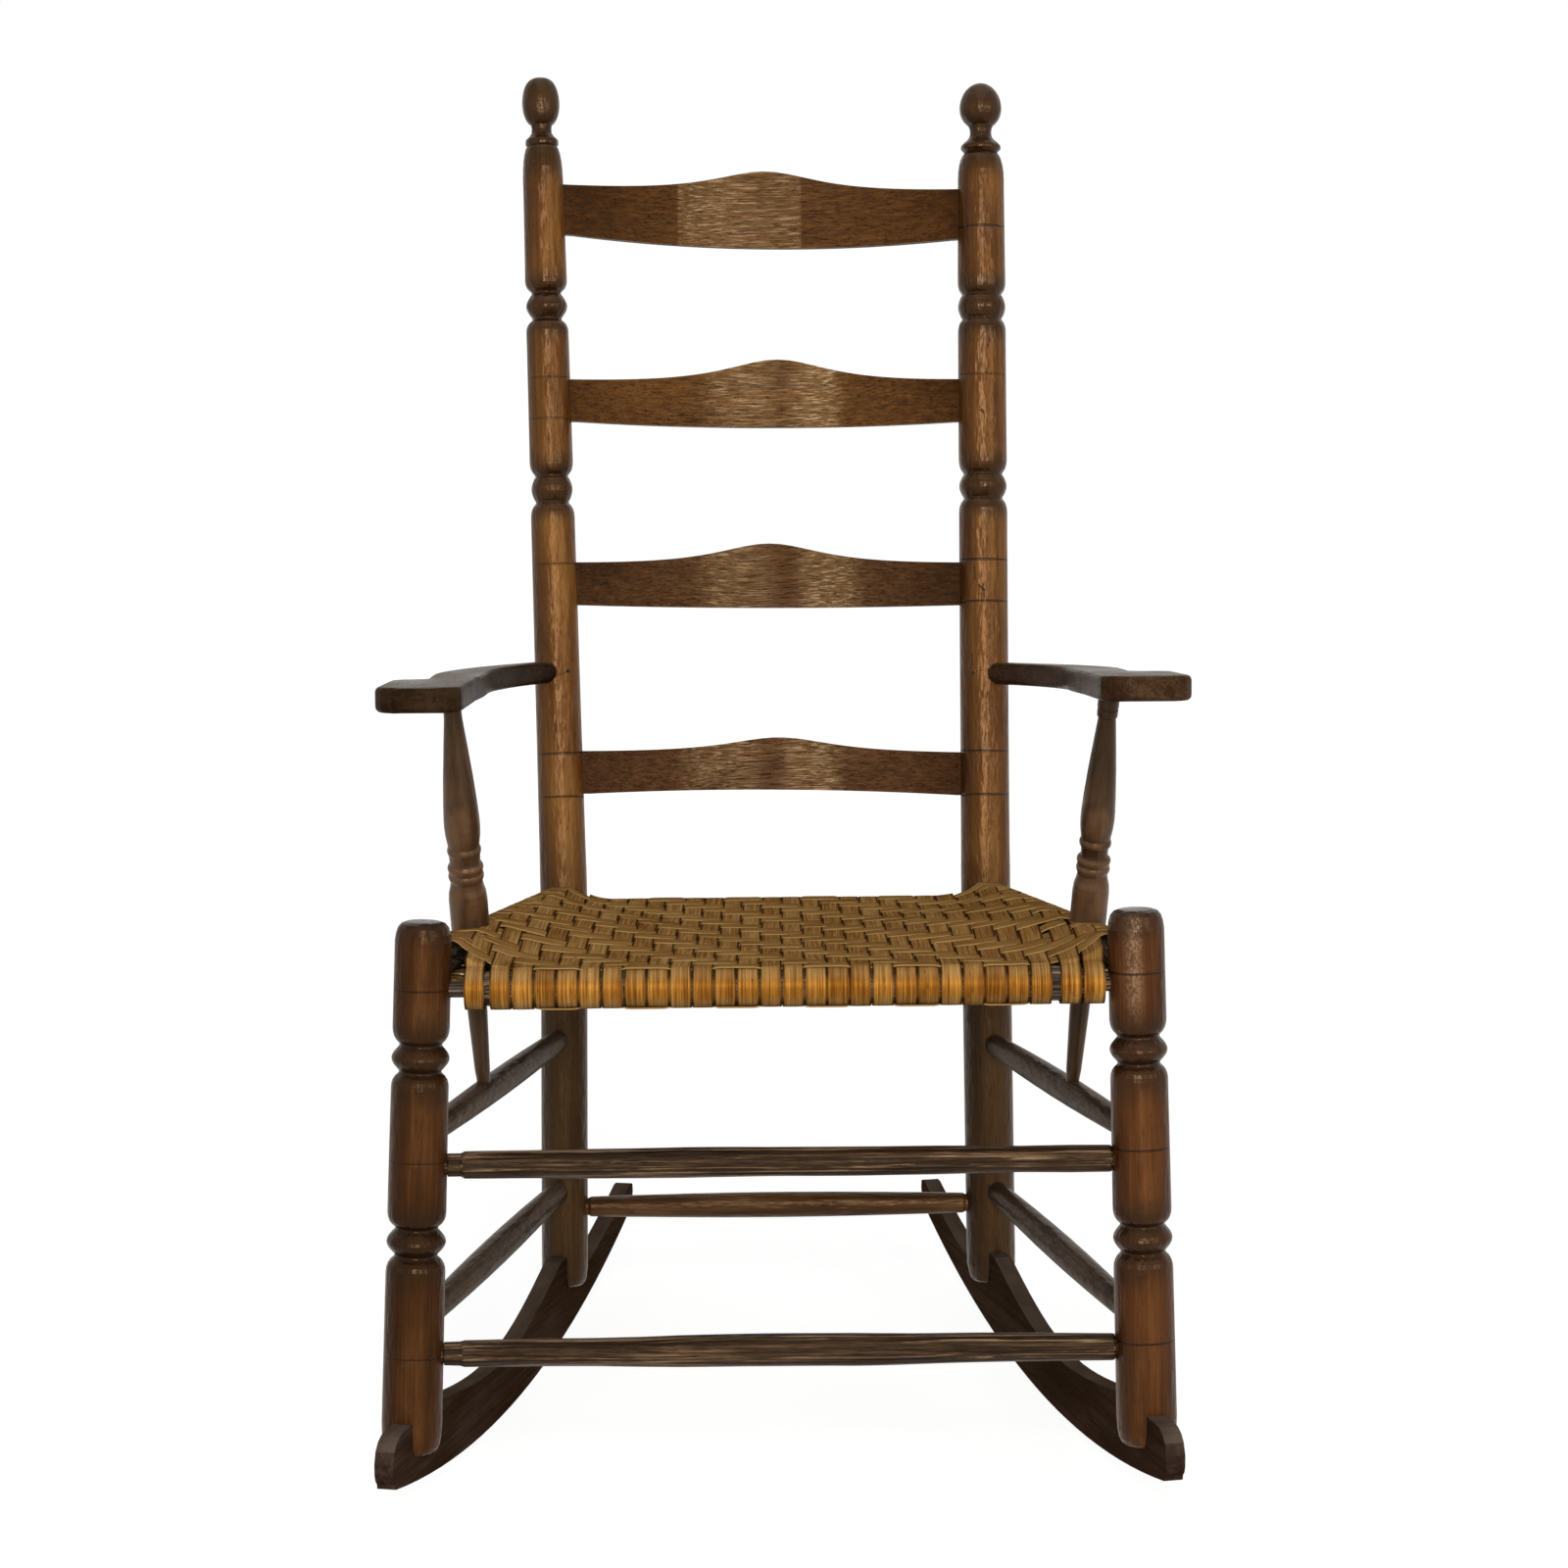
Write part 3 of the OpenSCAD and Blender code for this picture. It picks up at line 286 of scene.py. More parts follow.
def rings(finish, height, marks, colour, relief):
    """Dark scribed lines round a turned piece. A mark is (height in mm, darkness)."""
    ink = (0.007, 0.003, 0.0015)
    wobble = finish.math("MULTIPLY_ADD", finish.noise(
        finish.node("TexCoord", out=3), 2), 0.0006, -0.0003)
    height = finish.math("ADD", height, wobble)
    for at, darkness in marks:
        line = finish.span(finish.apart(height, at / 1000), 0.0004, 0.0012, darkness, 0.0)
        colour = finish.mix(line, colour, ink)
        relief = finish.math("MULTIPLY_ADD", line, -0.45, relief)
    return colour, relief


def scars(finish, place, marks, colour, relief):
    """Nicks, checks and nail holes: ragged dark hollows round short lines. A mark is (start,
    end, width) in mm in the piece's own frame, and reaches its width from the line: a place
    is on it by its distance from the line's nearest point."""
    ink = (0.016, 0.0065, 0.0025)
    for start, end, width in marks:
        a, b = Vector(start) / 1000, Vector(end) / 1000
        way = b - a
        away = finish.node("VectorMath", {0: place, 1: a}, operation="SUBTRACT")
        share = finish.node("VectorMath", {0: away, 1: way / max(way.length_squared, 1e-9)},
                            out=1, operation="DOT_PRODUCT")
        share = finish.node("Clamp", {"Value": share})
        foot = finish.node("VectorMath", {0: way, "Scale": share}, operation="SCALE")
        gap = finish.node("VectorMath", {0: away, 1: foot}, out=1, operation="DISTANCE")
        ragged = finish.math("MULTIPLY_ADD", finish.noise(
            finish.stretch(place, 900, 500), 2), 0.0010, finish.math("SUBTRACT", gap, 0.0005))
        hole = finish.span(ragged, 0.3 * width / 1000, width / 1000, 1.0, 0.0)
        colour = finish.stain(colour, hole, 0.9, ink)
        relief = finish.math("MULTIPLY_ADD", hole, -0.6, relief)
    return colour, relief


def soiled_round(finish, place, turnings, cells, ragged, near, far, soiled):
    """Where stain and dirt stay in and round the turnings: 1 up to near metres from each,
    0 past far, with a ragged border, and the most of that and of what is soiled already."""
    cloud = finish.math("MULTIPLY_ADD", finish.noise(finish.stretch(place, *cells), 3),
                        ragged, -ragged / 2)
    height = finish.node("SeparateXYZ", {0: place}, out=2)
    for turning in turnings:
        off = finish.math("ADD", finish.apart(height, turning / 1000), cloud)
        soiled = finish.math("MAXIMUM", soiled, finish.span(off, near, far, 1.0, 0.0))
    return soiled


# the posts' height above the bend, and for each post its outward lean there in degrees, its
# radius at the bend and at the top, and its turnings, rings and nicks by height over the bend
ABOVE_BEND = 630
for side, lean_out, radius, top_radius, turnings, marks, nicks, seed in (
        (-1, 1.2, 19.1, 16.8, (333.9, 484.1),
         [(424.3, 0.45), (390.8, 0.45), (271.8, 0.55), (117.3, 0.8), (82.0, 0.8)],
         [((3, -19, 460), (4, -19, 462), 1.0), ((10, -16, 262), (9, -17, 268), 0.8),
          ((14, -12.5, 193), (14.5, -12.5, 201), 1.4)], 3.1),
        (1, 0.2, 20.1, 19.5, (333.6, 480.7),
         [(545.1, 0.95), (423.8, 0.5), (272.4, 0.9), (238.4, 0.9), (116.2, 0.85), (80.8, 0.85)],
         [((-5, -19, 251), (-1, -19.5, 247), 1.0), ((-2, -19.5, 252), (-1, -19.5, 241), 0.8),
          ((-9, -17.5, 267), (-8, -17.5, 256), 0.7), ((-2, -19.3, 394), (-1, -19.3, 392), 1.2),
          ((5, -18.8, 452), (3, -18.8, 444), 0.7), ((-11, -16, 195), (-11, -16, 187), 1.4)],
         7.7)):
    name = "rear_post_" + ("left" if side < 0 else "right")
    bend = rear_axis(side, BEND_Z)
    rise = np.array([side * np.tan(np.radians(lean_out)), BACK_SLANT, 1])
    finish = Finish(name)
    # both frames start at the bend, one up along the slanting part, one along the lower part
    high = own_place(finish, axis_of(bend, bend + ABOVE_BEND * rise))
    low = own_place(finish, axis_of(bend, 2 * bend - rear_axis(side, 0)))
    above = finish.node("SeparateXYZ", {0: high}, out=2)
    place = finish.node("Mix", {0: finish.span(above, -0.002, 0.002), 4: low, 5: high}, out=1,
                        data_type="VECTOR")
    parts = finish.node("SeparateXYZ", {0: place})
    height = parts.node.outputs[2]
    warm = [(0.064, 0.0205, 0.0027), (0.112, 0.0410, 0.0065), (0.178, 0.0770, 0.0155)]
    colour, rough, relief = stained_wood(finish, place, warm, seed)
    # painted shade: the left side of each post is darker, away from the light, and so is all of
    # it from the seat down, in the seat's shade
    colour = finish.shade(colour, finish.span(parts.node.outputs[0], -0.018, 0.0, 0.90, 0.0),
                          (0.36, 0.28, 0.16))
    colour = finish.shade(colour, finish.span(height, -0.005, 0.075, 1.0, 0.0),
                          (0.62, 0.62, 0.62))
    colour = finish.shade(colour, finish.span(height, -0.03, 0.01, 1.0, 0.0),
                          (0.50, 0.58, 0.90))
    # stain and dirt stay in and round the turnings and on the finial
    soiled = soiled_round(finish, place, turnings, (90, 50), 0.016, 0.0150, 0.0330,
                          finish.span(height, 0.578, 0.603))
    colour = finish.stain(colour, soiled, 0.86, (0.023, 0.0085, 0.0020))
    # the valleys, where the stick is much thinner than its plain lengths, are darkest
    full = finish.math("MULTIPLY_ADD", height, (top_radius - radius) / ABOVE_BEND, radius / 1000)
    thin = finish.math("DIVIDE", from_axis(finish, place), full)
    hollow = finish.math("MULTIPLY", finish.span(thin, 0.74, 0.95, 1.0, 0.0),
                         finish.span(height, 0.30, 0.31))
    colour = finish.stain(colour, hollow, 0.55, (0.012, 0.0050, 0.0020))
    colour, relief = rings(finish, height, marks, colour, relief)
    colour, relief = scars(finish, place, nicks, colour, relief)
    rough = finish.math("MULTIPLY_ADD", soiled, -0.09, rough)
    wear_material(name, varnish(finish, colour, rough, relief))


# The front posts: shorter, thicker turned sticks in a darker walnut stain, with two bead
# turnings, domed tops and open slots at the foot for the rockers.
SEAT_Z = 367


def front_axis(side, z):
    """A point on a front post's axis at height z. The axis is FRONT_HALF from the middle at
    the seat and splays outwards to the foot, on the left more than on the right."""
    splay = np.tan(np.radians(2.4 if side < 0 else 1.4))
    return np.array([side * (FRONT_HALF + splay * (SEAT_Z - z)), 0, z])


for side, turnings, marks, rubbing, off_middle, gloss, seed in (
        (-1, (182, 314), [(364.0, 0.7), (241.5, 0.5), (100.7, 0.55)], 0.35, -0.002, 0.13, 11.3),
        (1, (179.3, 315.2), [(371.5, 0.8), (245.6, 0.85), (106.2, 0.85)], 0.9, 0.004, 0.20,
         15.9)):
    name = "front_post_" + ("left" if side < 0 else "right")
    finish = Finish(name)
    place = own_place(finish, axis_of(front_axis(side, 0), front_axis(side, SEAT_Z)))
    parts = finish.node("SeparateXYZ", {0: place})
    height = parts.node.outputs[2]
    walnut = [(0.026, 0.0100, 0.0026), (0.049, 0.0190, 0.0055), (0.082, 0.0360, 0.0125)]
    colour, rough, relief = stained_wood(finish, place, walnut, seed, 0.9, 0.8)
    # the lengths between the turnings have rubbed through to a warmer brown
    lighter_share = finish.math("MULTIPLY", finish.noise(finish.stretch(place, 40, 14), 3), rubbing)
    colour = finish.shade(colour, lighter_share, (2.0, 1.45, 0.95))
    # painted shade: both sides are darker, round a lit middle line, and the top of the right post
    # has a painted highlight: a pale, speckled streak down its middle
    from_middle = finish.math("ABSOLUTE", finish.math("ADD", parts.node.outputs[0], off_middle))
    colour = finish.shade(colour, finish.span(from_middle, 0.004, 0.020, 0.0, 0.85),
                          (0.50, 0.42, 0.30))
    if side > 0:
        painted_highlight = finish.math("MULTIPLY", finish.span(height, 0.325, 0.365, 0.0, 0.70),
                            finish.span(from_middle, 0.001, 0.009, 1.0, 0.0))
        painted_highlight = finish.math("MULTIPLY", painted_highlight, finish.span(
            finish.noise(finish.stretch(place, 700, 400), 3), 0.40, 0.60, 0.2, 0.85))
        colour = finish.mix(painted_highlight, colour, (0.290, 0.1850, 0.1100))
    # dirt on the dome and round the turnings, and most of it down in the valleys
    soiled = soiled_round(finish, place, turnings, (80, 45), 0.024, 0.0170, 0.0400,
                          finish.span(height, 0.392, 0.405, 0.0, 0.8))
    colour = finish.stain(colour, soiled, 0.70, (0.019, 0.0088, 0.0040))
    hollow = finish.math("MULTIPLY", finish.span(
        from_axis(finish, place), 0.0155, 0.0195, 1.0, 0.0), finish.span(height, 0.150, 0.160))
    colour = finish.stain(colour, hollow, 0.6, (0.010, 0.0052, 0.0030))
    colour, relief = rings(finish, height, marks, colour, relief)
    rough = finish.math("MULTIPLY_ADD", soiled, -0.08, rough)
    wear_material(name, varnish(finish, colour, rough, relief, gloss))


# The slats: four thin boards of coarse, open grained wood, steamed to a curve and peaked in
# the middle. The stain has sunk into the pores and is worn thin where a back leans, with a
# painted sheen and painted highlight streaks over those worn patches.
back = np.array([0, BACK_SLANT, 1]) / np.linalg.norm([0, BACK_SLANT, 1])
# a sheen patch, worn paler and with a painted sheen over it, is its place along the slat and
# its reach to either side in mm, its strength, and the share of its reach over which it keeps
# that strength
for name, height, seed, tone, sheen_patches in (
        ("top_slat", 560, 2.0, (0.66, 0.60, 0.44),
         ((-24, 52, 0.46, 0.95), (-38, 34, 0.36, 0.2))),
        ("second_slat", 405, 5.5, (0.80, 0.76, 0.58),
         ((-22, 44, 0.6, 0.2), (36, 30, 0.85, 0.3))),
        ("third_slat", 256, 8.2, (0.56, 0.56, 0.62),
         ((-29, 42, 0.5, 0.2), (46, 34, 0.7, 0.3))),
        ("bottom_slat", 101, 12.4, (0.68, 0.68, 0.85),
         ((-43, 42, 0.55, 0.3), (31, 32, 0.7, 0.3)))):
    centre = np.array([0, DEPTH, BEND_Z]) + height * back
    finish = Finish(name)
    place = own_place(finish, axis_of(centre, centre + (REAR_HALF, 0, 0), back))
    parts = finish.node("SeparateXYZ", {0: place})
    along = parts.node.outputs[2]
    drift = finish.node("VectorMath", {0: place, 1: (seed, seed, seed)}, operation="ADD")
    # the growth rings wander up and down the board in long waves
    wave = finish.noise(finish.stretch(drift, 8, 5), 2)
    ripple = finish.noise(finish.stretch(drift, 50, 22), 2)
    wander = finish.math("MULTIPLY_ADD", wave, 0.022, finish.math("MULTIPLY", ripple, 0.002))
    lift = finish.node("CombineXYZ", {0: wander, 1: 0.0, 2: 0.0})
    lines = finish.node("VectorMath", {0: drift, 1: lift}, operation="ADD")
    ring = finish.noise(finish.stretch(lines, 420, 3.5), 3, 0.6)
    thread = finish.noise(finish.stretch(lines, 1100, 30), 2, 0.6)
    patch = finish.noise(finish.stretch(drift, 22, 12), 3, 0.5)
    pore = finish.span(finish.noise(finish.stretch(lines, 1100, 85), 2, 0.65), 0.55, 0.68)
    share = finish.math("MULTIPLY_ADD", ring, 0.55, finish.math(
        "MULTIPLY_ADD", thread, 0.25, finish.math("MULTIPLY", patch, 0.35)))
    colour = finish.ramp(share, [
        (at, tuple(np.multiply(tone, shade))) for at, shade in (
            (0.45, (0.046, 0.0170, 0.0042)), (0.57, (0.084, 0.0340, 0.0095)),
            (0.70, (0.135, 0.0600, 0.0190)))])
    # two patches where a sitter's back has worn the stain paler, with a painted sheen over
    # them and painted highlight streaks on the raised fibres
    crest = finish.span(thread, 0.50, 0.66)
    for along_mm, reach, strength, plain in sheen_patches:
        wear_and_sheen = finish.math("MULTIPLY", finish.span(patch, 0.28, 0.5, 0.55, 1.0), finish.span(
            finish.apart(along, along_mm / 1000), plain * reach / 1000, reach / 1000,
            strength, 0.0))
        colour = finish.stain(colour, wear_and_sheen, 0.45, (0.190, 0.1080, 0.0420))
        colour = finish.stain(colour, finish.math("MULTIPLY", wear_and_sheen, crest), 0.75,
                              (0.460, 0.3200, 0.1800))
    colour = finish.shade(colour, finish.span(
        finish.math("ABSOLUTE", along), 0.105, 0.165, 0.0, 0.75), (0.55, 0.48, 0.42))
    colour = finish.stain(colour, pore, 0.42, (0.016, 0.0070, 0.0028))
    relief = finish.math("MULTIPLY_ADD", pore, -0.22, finish.math(
        "MULTIPLY_ADD", ring, 0.28, finish.math("MULTIPLY", thread, 0.16)))
    rough = finish.math("MULTIPLY_ADD", pore, 0.25, finish.span(patch, 0.3, 0.7, 0.34, 0.46))
    if name == "top_slat":
        crack = [((17.5, -4, -76), (7, -4, -75), 1.1)]
        colour, relief = scars(finish, place, crack, colour, relief)
    wear_material(name, varnish(finish, colour, rough, relief, 0.10))


# The arms: sawn paddles that turn into round tenons at the rear, on raking turned spindles,
# all in dark walnut. Hands have worn the spindles' thick parts paler, and the arms' tops are
# paler too, partly worn and partly a painted sheen of the light from above.
for name, p, q, tone, gloss, glow, seed in (
        ("arm_left", (-238, -28, 578), (-238, 372, 570), 0.5, 0.02, 0.03, 1.2),
        ("arm_right", (243, -28, 581.9), (243, 372, 566.2), 1.0, 0.02, 0.03, 4.9),
        ("arm_spindle_left", (-222.6, 158, 257.7), (-232.4, 51, 558.5), 1.0, 0.30, 0.12, 7.3),
        ("arm_spindle_right", (221.5, 158, 253.6), (237.9, 51, 560.8), 1.0, 0.30, 0.12, 9.6)):
    finish = Finish(name)
    place = own_place(finish, axis_of(p, q))
    dark = [tuple(tone * c for c in shade) for shade in (
        (0.016, 0.0076, 0.0036), (0.034, 0.0165, 0.0080), (0.068, 0.0370, 0.0195))]
    colour, rough, relief = stained_wood(finish, place, dark, seed, 1.0, 0.35)
    if "spindle" in name:
        thick = finish.span(from_axis(finish, place), 0.0095, 0.0130)
        paler_share = finish.math("MULTIPLY", thick, finish.span(
            finish.noise(finish.stretch(place, 70, 30), 2), 0.35, 0.65, 0.2, 0.9))
        colour = finish.mix(paler_share, colour, (0.115, 0.0600, 0.0290))
    else:
        # the faces that look up are paler: partly worn by hands, partly a painted sheen of the
        # light from above
        up = finish.node("SeparateXYZ", {0: finish.node("NewGeometry", out=1)}, out=2)
        lighter_share = finish.math("MULTIPLY", finish.span(up, 0.75, 0.97), finish.span(
            finish.noise(finish.stretch(place, 45, 12), 4, 0.6), 0.30, 0.62, 0.35, 1.0))
        colour = finish.stain(colour, lighter_share, 0.60, (0.105, 0.0790, 0.0480))
    wear_material(name, varnish(finish, colour, rough, relief, gloss, glow=glow))

# the two small nails that pin the arms' tenons are old iron
finish = Finish("nail_iron")
spot = finish.noise(finish.stretch(finish.node("TexCoord", out=3), 900, 900), 3)
colour = finish.ramp(spot, [(0.3, (0.010, 0.008, 0.007)), (0.7, (0.035, 0.022, 0.015))])
wear_material("arm_pins", varnish(finish, colour, finish.span(spot, 0.3, 0.7, 0.5, 0.75),
                                  finish.math("MULTIPLY", spot, 0.2), 0.3, (1, 1, 1)))


# The stretchers: split sticks, not turned ones, with round tenons at both ends. The front
# pair still has the long torn ridges of the split wood; the others were shaved smooth.
def grid_faces(rows, columns, closed=False):
    """Quads between the points of a grid stored row by row. A closed grid also joins its
    last row to its first. The columns always go round."""
    j, i = np.meshgrid(np.arange(rows if closed else rows - 1), np.arange(columns),
                       indexing="ij")
    a, b, count = j * columns + i, j * columns + (i + 1) % columns, rows * columns
    return np.stack([a, b, (b + columns) % count, (a + columns) % count], -1).reshape(-1, 4)


def make_piece(name, points, faces, uv=None, marks=None):
    """A smooth shaded mesh object from points in metres and a list of faces, with an
    optional UV and an optional colour mark for each point."""
    mesh = bpy.data.meshes.new(name)
    mesh.from_pydata(points.tolist(), [], faces)
    corner = np.zeros(len(mesh.loops), np.int32)
    mesh.loops.foreach_get("vertex_index", corner)
    if uv is not None:
        mesh.uv_layers.new(name="strip").data.foreach_set("uv", uv[corner].ravel())
    if marks is not None:
        layer = mesh.attributes.new("strand", "FLOAT_COLOR", "POINT")
        layer.data.foreach_set("color", marks.astype(np.float32).ravel())
    mesh.polygons.foreach_set("use_smooth", np.ones(len(mesh.polygons), bool))
    piece = bpy.data.objects.new(name, mesh)
    scene.collection.objects.link(piece)
    return piece


def riven_stick(name, p, q, profile, ridge, seed):
    """A split stick from p to q. Its radius is that of the profile, a table of distance and
    radius, plus ridges: a sum of folded sine waves round the stick whose phases drift
    slowly along it, so that the ridges run lengthwise, wander, fade and come back."""
    rng = np.random.default_rng(seed)
    z = (q - p) / np.linalg.norm(q - p)
    x = np.array([0, 1.0, 0])
    y = np.cross(z, x)
    at, radius = np.array(profile).T
    rings_along, points_round = 210, 120
    s = np.unique(np.concatenate([np.linspace(at[0], at[-1], rings_along), at]))
    t = np.linspace(0, 2 * np.pi, points_round, endpoint=False)
    s_grid, t_grid = np.meshgrid(s, t, indexing="ij")
    base = np.interp(s_grid, at, radius)
    relief = np.zeros_like(base)
    for count in (7, 11, 17, 24, 33, 47):
        turn = rng.uniform(0, 2 * np.pi)
        for wave in (45, 110, 260):
            turn = turn + rng.uniform(0.4, 1.1) * np.sin(s_grid / wave + rng.uniform(0, 6.3))
        fade = 0.6 + 0.4 * np.sin(s_grid / rng.uniform(20, 55) + rng.uniform(0, 6.3) + t_grid)
        relief += fade * np.abs(np.sin(0.5 * (count * t_grid + 2 * turn))) * (12 / count) ** 0.6
    # the ridges stand a fifth of their height above the profile, and the tenons are smooth
    torn = ridge * np.clip((base - 8) / 1.6, 0, 1)
    r = base + torn * (relief / relief.max() - 0.8)
    ring = p + s_grid[..., None] * z + r[..., None] * (
        np.cos(t_grid)[..., None] * x + np.sin(t_grid)[..., None] * y)
    points = np.vstack([ring.reshape(-1, 3), ring[0].mean(0), ring[-1].mean(0)])
    rows, columns = base.shape
    i = np.arange(columns)
    j, n = (i + 1) % columns, rows * columns
    faces = grid_faces(rows, columns).tolist()
    faces += np.stack([np.full(columns, n), j, i], -1).tolist()
    faces += np.stack([np.full(columns, n + 1), n - columns + i, n - columns + j], -1).tolist()
    return make_piece(name, chair(points), faces)


def stick_finish(name, p, q, tones, seed, torn, gloss):
    """Stained stick: the torn ones have dark furrows and paler crests, the crests partly rubbed
    and partly a painted highlight.
    """
    finish = Finish(name)
    place = own_place(finish, axis_of(p, q, (0, 0, 1)))
    colour, rough, relief = stained_wood(finish, place, tones, seed, 1.3, 1.0)
    if torn:
        furrow = finish.noise(finish.stretch(place, 430, 7), 4, 0.65, 0.8)
        colour = finish.mix(finish.span(furrow, 0.48, 0.58), colour, (0.009, 0.0050, 0.0028))
        # the paler crests: partly rubbed wear, partly a painted highlight
        colour = finish.mix(finish.span(furrow, 0.44, 0.37, 0.0, 0.9), colour,
                            (0.270, 0.175, 0.100))
        relief = finish.math("MULTIPLY_ADD", furrow, -1.1, relief)
    else:
        shave = finish.noise(finish.stretch(place, 75, 6), 1, 0.4)
        relief = finish.math("MULTIPLY_ADD", shave, 1.6, relief)
    return varnish(finish, colour, rough, relief, gloss)


# each front stick is its height, how far from their axes it leaves the posts, and its radius
# by distance from the left axis, first where it has just left that post, then along the rest
soot = [(0.016, 0.0080, 0.0040), (0.040, 0.0210, 0.0105), (0.090, 0.0510, 0.0270)]
tenon_from, tenon_r, ridge = 3.2, 6.9, 0.85
for name, z, reach, start, swell, seed in (
        ("front_stretcher_upper", 236.6, 21.2, [(30.2, 8.3), (33.2, 9.9)],
         [(50, 10.1), (78, 10.15), (133, 10.7), (188, 11.05), (250, 10.6), (312, 10.6),
          (367, 10.35), (429, 9.5), (463, 9.9)], 3),
        ("front_stretcher_lower", 99.9, 22.0, [(33.0, 8.7), (36.5, 9.7)],
         [(134, 10.2), (189, 11.45), (251, 11.9), (313, 11.9), (368, 11.05), (440, 10.3)], 8)):
    a, b = front_axis(-1, z), front_axis(1, z)
    end = np.linalg.norm(b - a)
    piece = riven_stick(name + "_riven", a, b, [
        (tenon_from, tenon_r), (reach - 0.2, tenon_r), (reach, 8.3), *start, *swell,
        (end - reach - 1.5, 9.7), (end - reach, 9.2), (end - reach + 0.2, tenon_r),
        (end - tenon_from, tenon_r)], ridge, seed)
    piece.data.materials.append(stick_finish(name + "_wood", a, b, soot, seed, True, 0.14))
    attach(piece, "root")
    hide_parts(name)

brown = [(0.024, 0.0100, 0.0034), (0.062, 0.0280, 0.0100), (0.130, 0.0660, 0.0280)]
grey = [(0.020, 0.0115, 0.0068), (0.042, 0.0260, 0.0165), (0.080, 0.0540, 0.0370)]
a, b = rear_axis(-1, 119.4), rear_axis(1, 119.4)
wear_material("rear_stretcher", stick_finish("rear_stretcher", a, b, brown, 4.4, False, 0.18))
# the side ones, by the heights of their front and rear ends
for side, name, z0, z1 in (
        (-1, "left_upper", 254.6, 262.0), (-1, "left_lower", 118.8, 137.2),
        (1, "right_upper", 252.8, 254.8), (1, "right_lower", 115.8, 133.4)):
    name = "side_stretcher_" + name
    a, b, seed = front_axis(side, z0), rear_axis(side, z1), z0 / 20 + side
    wear_material(name, stick_finish(name, a, b, grey, seed, False, 0.03))


# The seat rails: four rough rods, set into the posts and hidden in the weave but for their
# raw grey ends by the front posts.
raw = [(0.020, 0.0145, 0.0110), (0.075, 0.0560, 0.0420), (0.220, 0.1750, 0.1350)]
# the heights of the rails' axes: front and rear, and the front and rear ends of the side ones
RAIL_Z = (362.8, 360.4)
SIDE_Z = (380.0, 374.0)
for name, a, b in (
        ("seat_rail_front", front_axis(-1, RAIL_Z[0]), front_axis(1, RAIL_Z[0])),
        ("seat_rail_rear", rear_axis(-1, RAIL_Z[1]), rear_axis(1, RAIL_Z[1])),
        ("seat_rail_left", front_axis(-1, SIDE_Z[0]), rear_axis(-1, SIDE_Z[1])),
        ("seat_rail_right", front_axis(1, SIDE_Z[0]), rear_axis(1, SIDE_Z[1]))):
    # no two rails start at the same place, so that place gives each its own grain
    seed = a[2] / 10 + a[0] / 40
    wear_material(name, stick_finish(name, a, b, raw, seed, True, 0.10))


# The rockers: sawn boards with a long even curve, let into the slots of the feet. Their
# dark paint-like stain is purplish and dull, and paler and greyer on the faces that look up.
SLOT_Z = 54.5
for side, word in ((-1, "left"), (1, "right")):
    name = "rocker_" + word
    finish = Finish(name)
    along = axis_of(front_axis(side, SLOT_Z), rear_axis(side, SLOT_Z), (0, 0, 1))
    place = own_place(finish, along)
    dull = [(0.018, 0.0098, 0.0068), (0.033, 0.0187, 0.0135), (0.058, 0.0360, 0.0270)]
    colour, rough, relief = stained_wood(finish, place, dull, 3 + side, 0.7, 0.5)
    up = finish.node("SeparateXYZ", {0: finish.node("NewGeometry", out=1)}, out=2)
    paler_share = finish.math("MULTIPLY", finish.span(up, 0.3, 0.9), finish.noise(
        finish.stretch(place, 50, 18), 3))
    colour = finish.mix(paler_share, colour, (0.115, 0.088, 0.068))
    wear_material(name, varnish(finish, colour, rough, relief, 0.0, glow=0.05))


# The seat: ash splints woven in a two over, two under twill round the four rails, top and
# bottom in one pass. The warps run front to back over the front and rear rails, the short
# ones at the sides only as far as the side rails; the wefts run across over the side rails.
WARPS, ROWS = 28, 21
# the first and last warps that go all the way round, and the weft cut at the arm spindles
FIRST_WHOLE, LAST_WHOLE, SHORT_WEFT = 4, 22, 5
# how far a splint lies from the seat's middle surface, and how far over or under that it
# goes where it crosses another
LAY, STEP = 13.70, 0.68
# a splint's thickness, and the steps between its points in mm and, round a rail, in degrees
THICK, STRIDE, TURN_STEP = 1.2, 3.2, 11
# how far back the short warps may go in mm, and how far across, as a share, the cut weft goes
SHORT_STOP, CUT_STOP = 356, 0.915
# the share of its row that a weft fills, its full width, and the usual width of a splint
ROW_FILL, WEFT_WIDTH, USUAL_WIDTH = 0.925, 17.2, 16
toe = np.arctan((FRONT_HALF - REAR_HALF) / DEPTH)


def ease(x):
    """Smooth step: three x squared less two x cubed, for x kept between 0 and 1."""
    x = np.clip(x, 0, 1)
    return x * x * (3 - 2 * x)


def half_width(y):
    """Distance of the side rails' axes from the middle at depth y."""
    return FRONT_HALF - np.tan(toe) * y


def middle(a, b):
    """Height of the seat's middle surface at share a across and share b back: level with
    the front and rear rails in the middle, with the side rails at the sides, joined by a
    power of a that is steep at the front and back and gentle between, and sagging 3 mm by
    a product of two parabolas."""
    p = np.where((b <= 0) | (b >= 1), 70, 2 + 16 * np.abs(2 * b - 1) ** 3)
    u = np.minimum(1, np.abs(a) / np.where((b <= 0) | (b >= 1), 1, 0.93))
    line = RAIL_Z[0] + (RAIL_Z[1] - RAIL_Z[0]) * b
    side = SIDE_Z[0] + (SIDE_Z[1] - SIDE_Z[0]) * b
    return line + (side - line) * u ** p - 3 * (1 - a * a) * 4 * b * (1 - b)


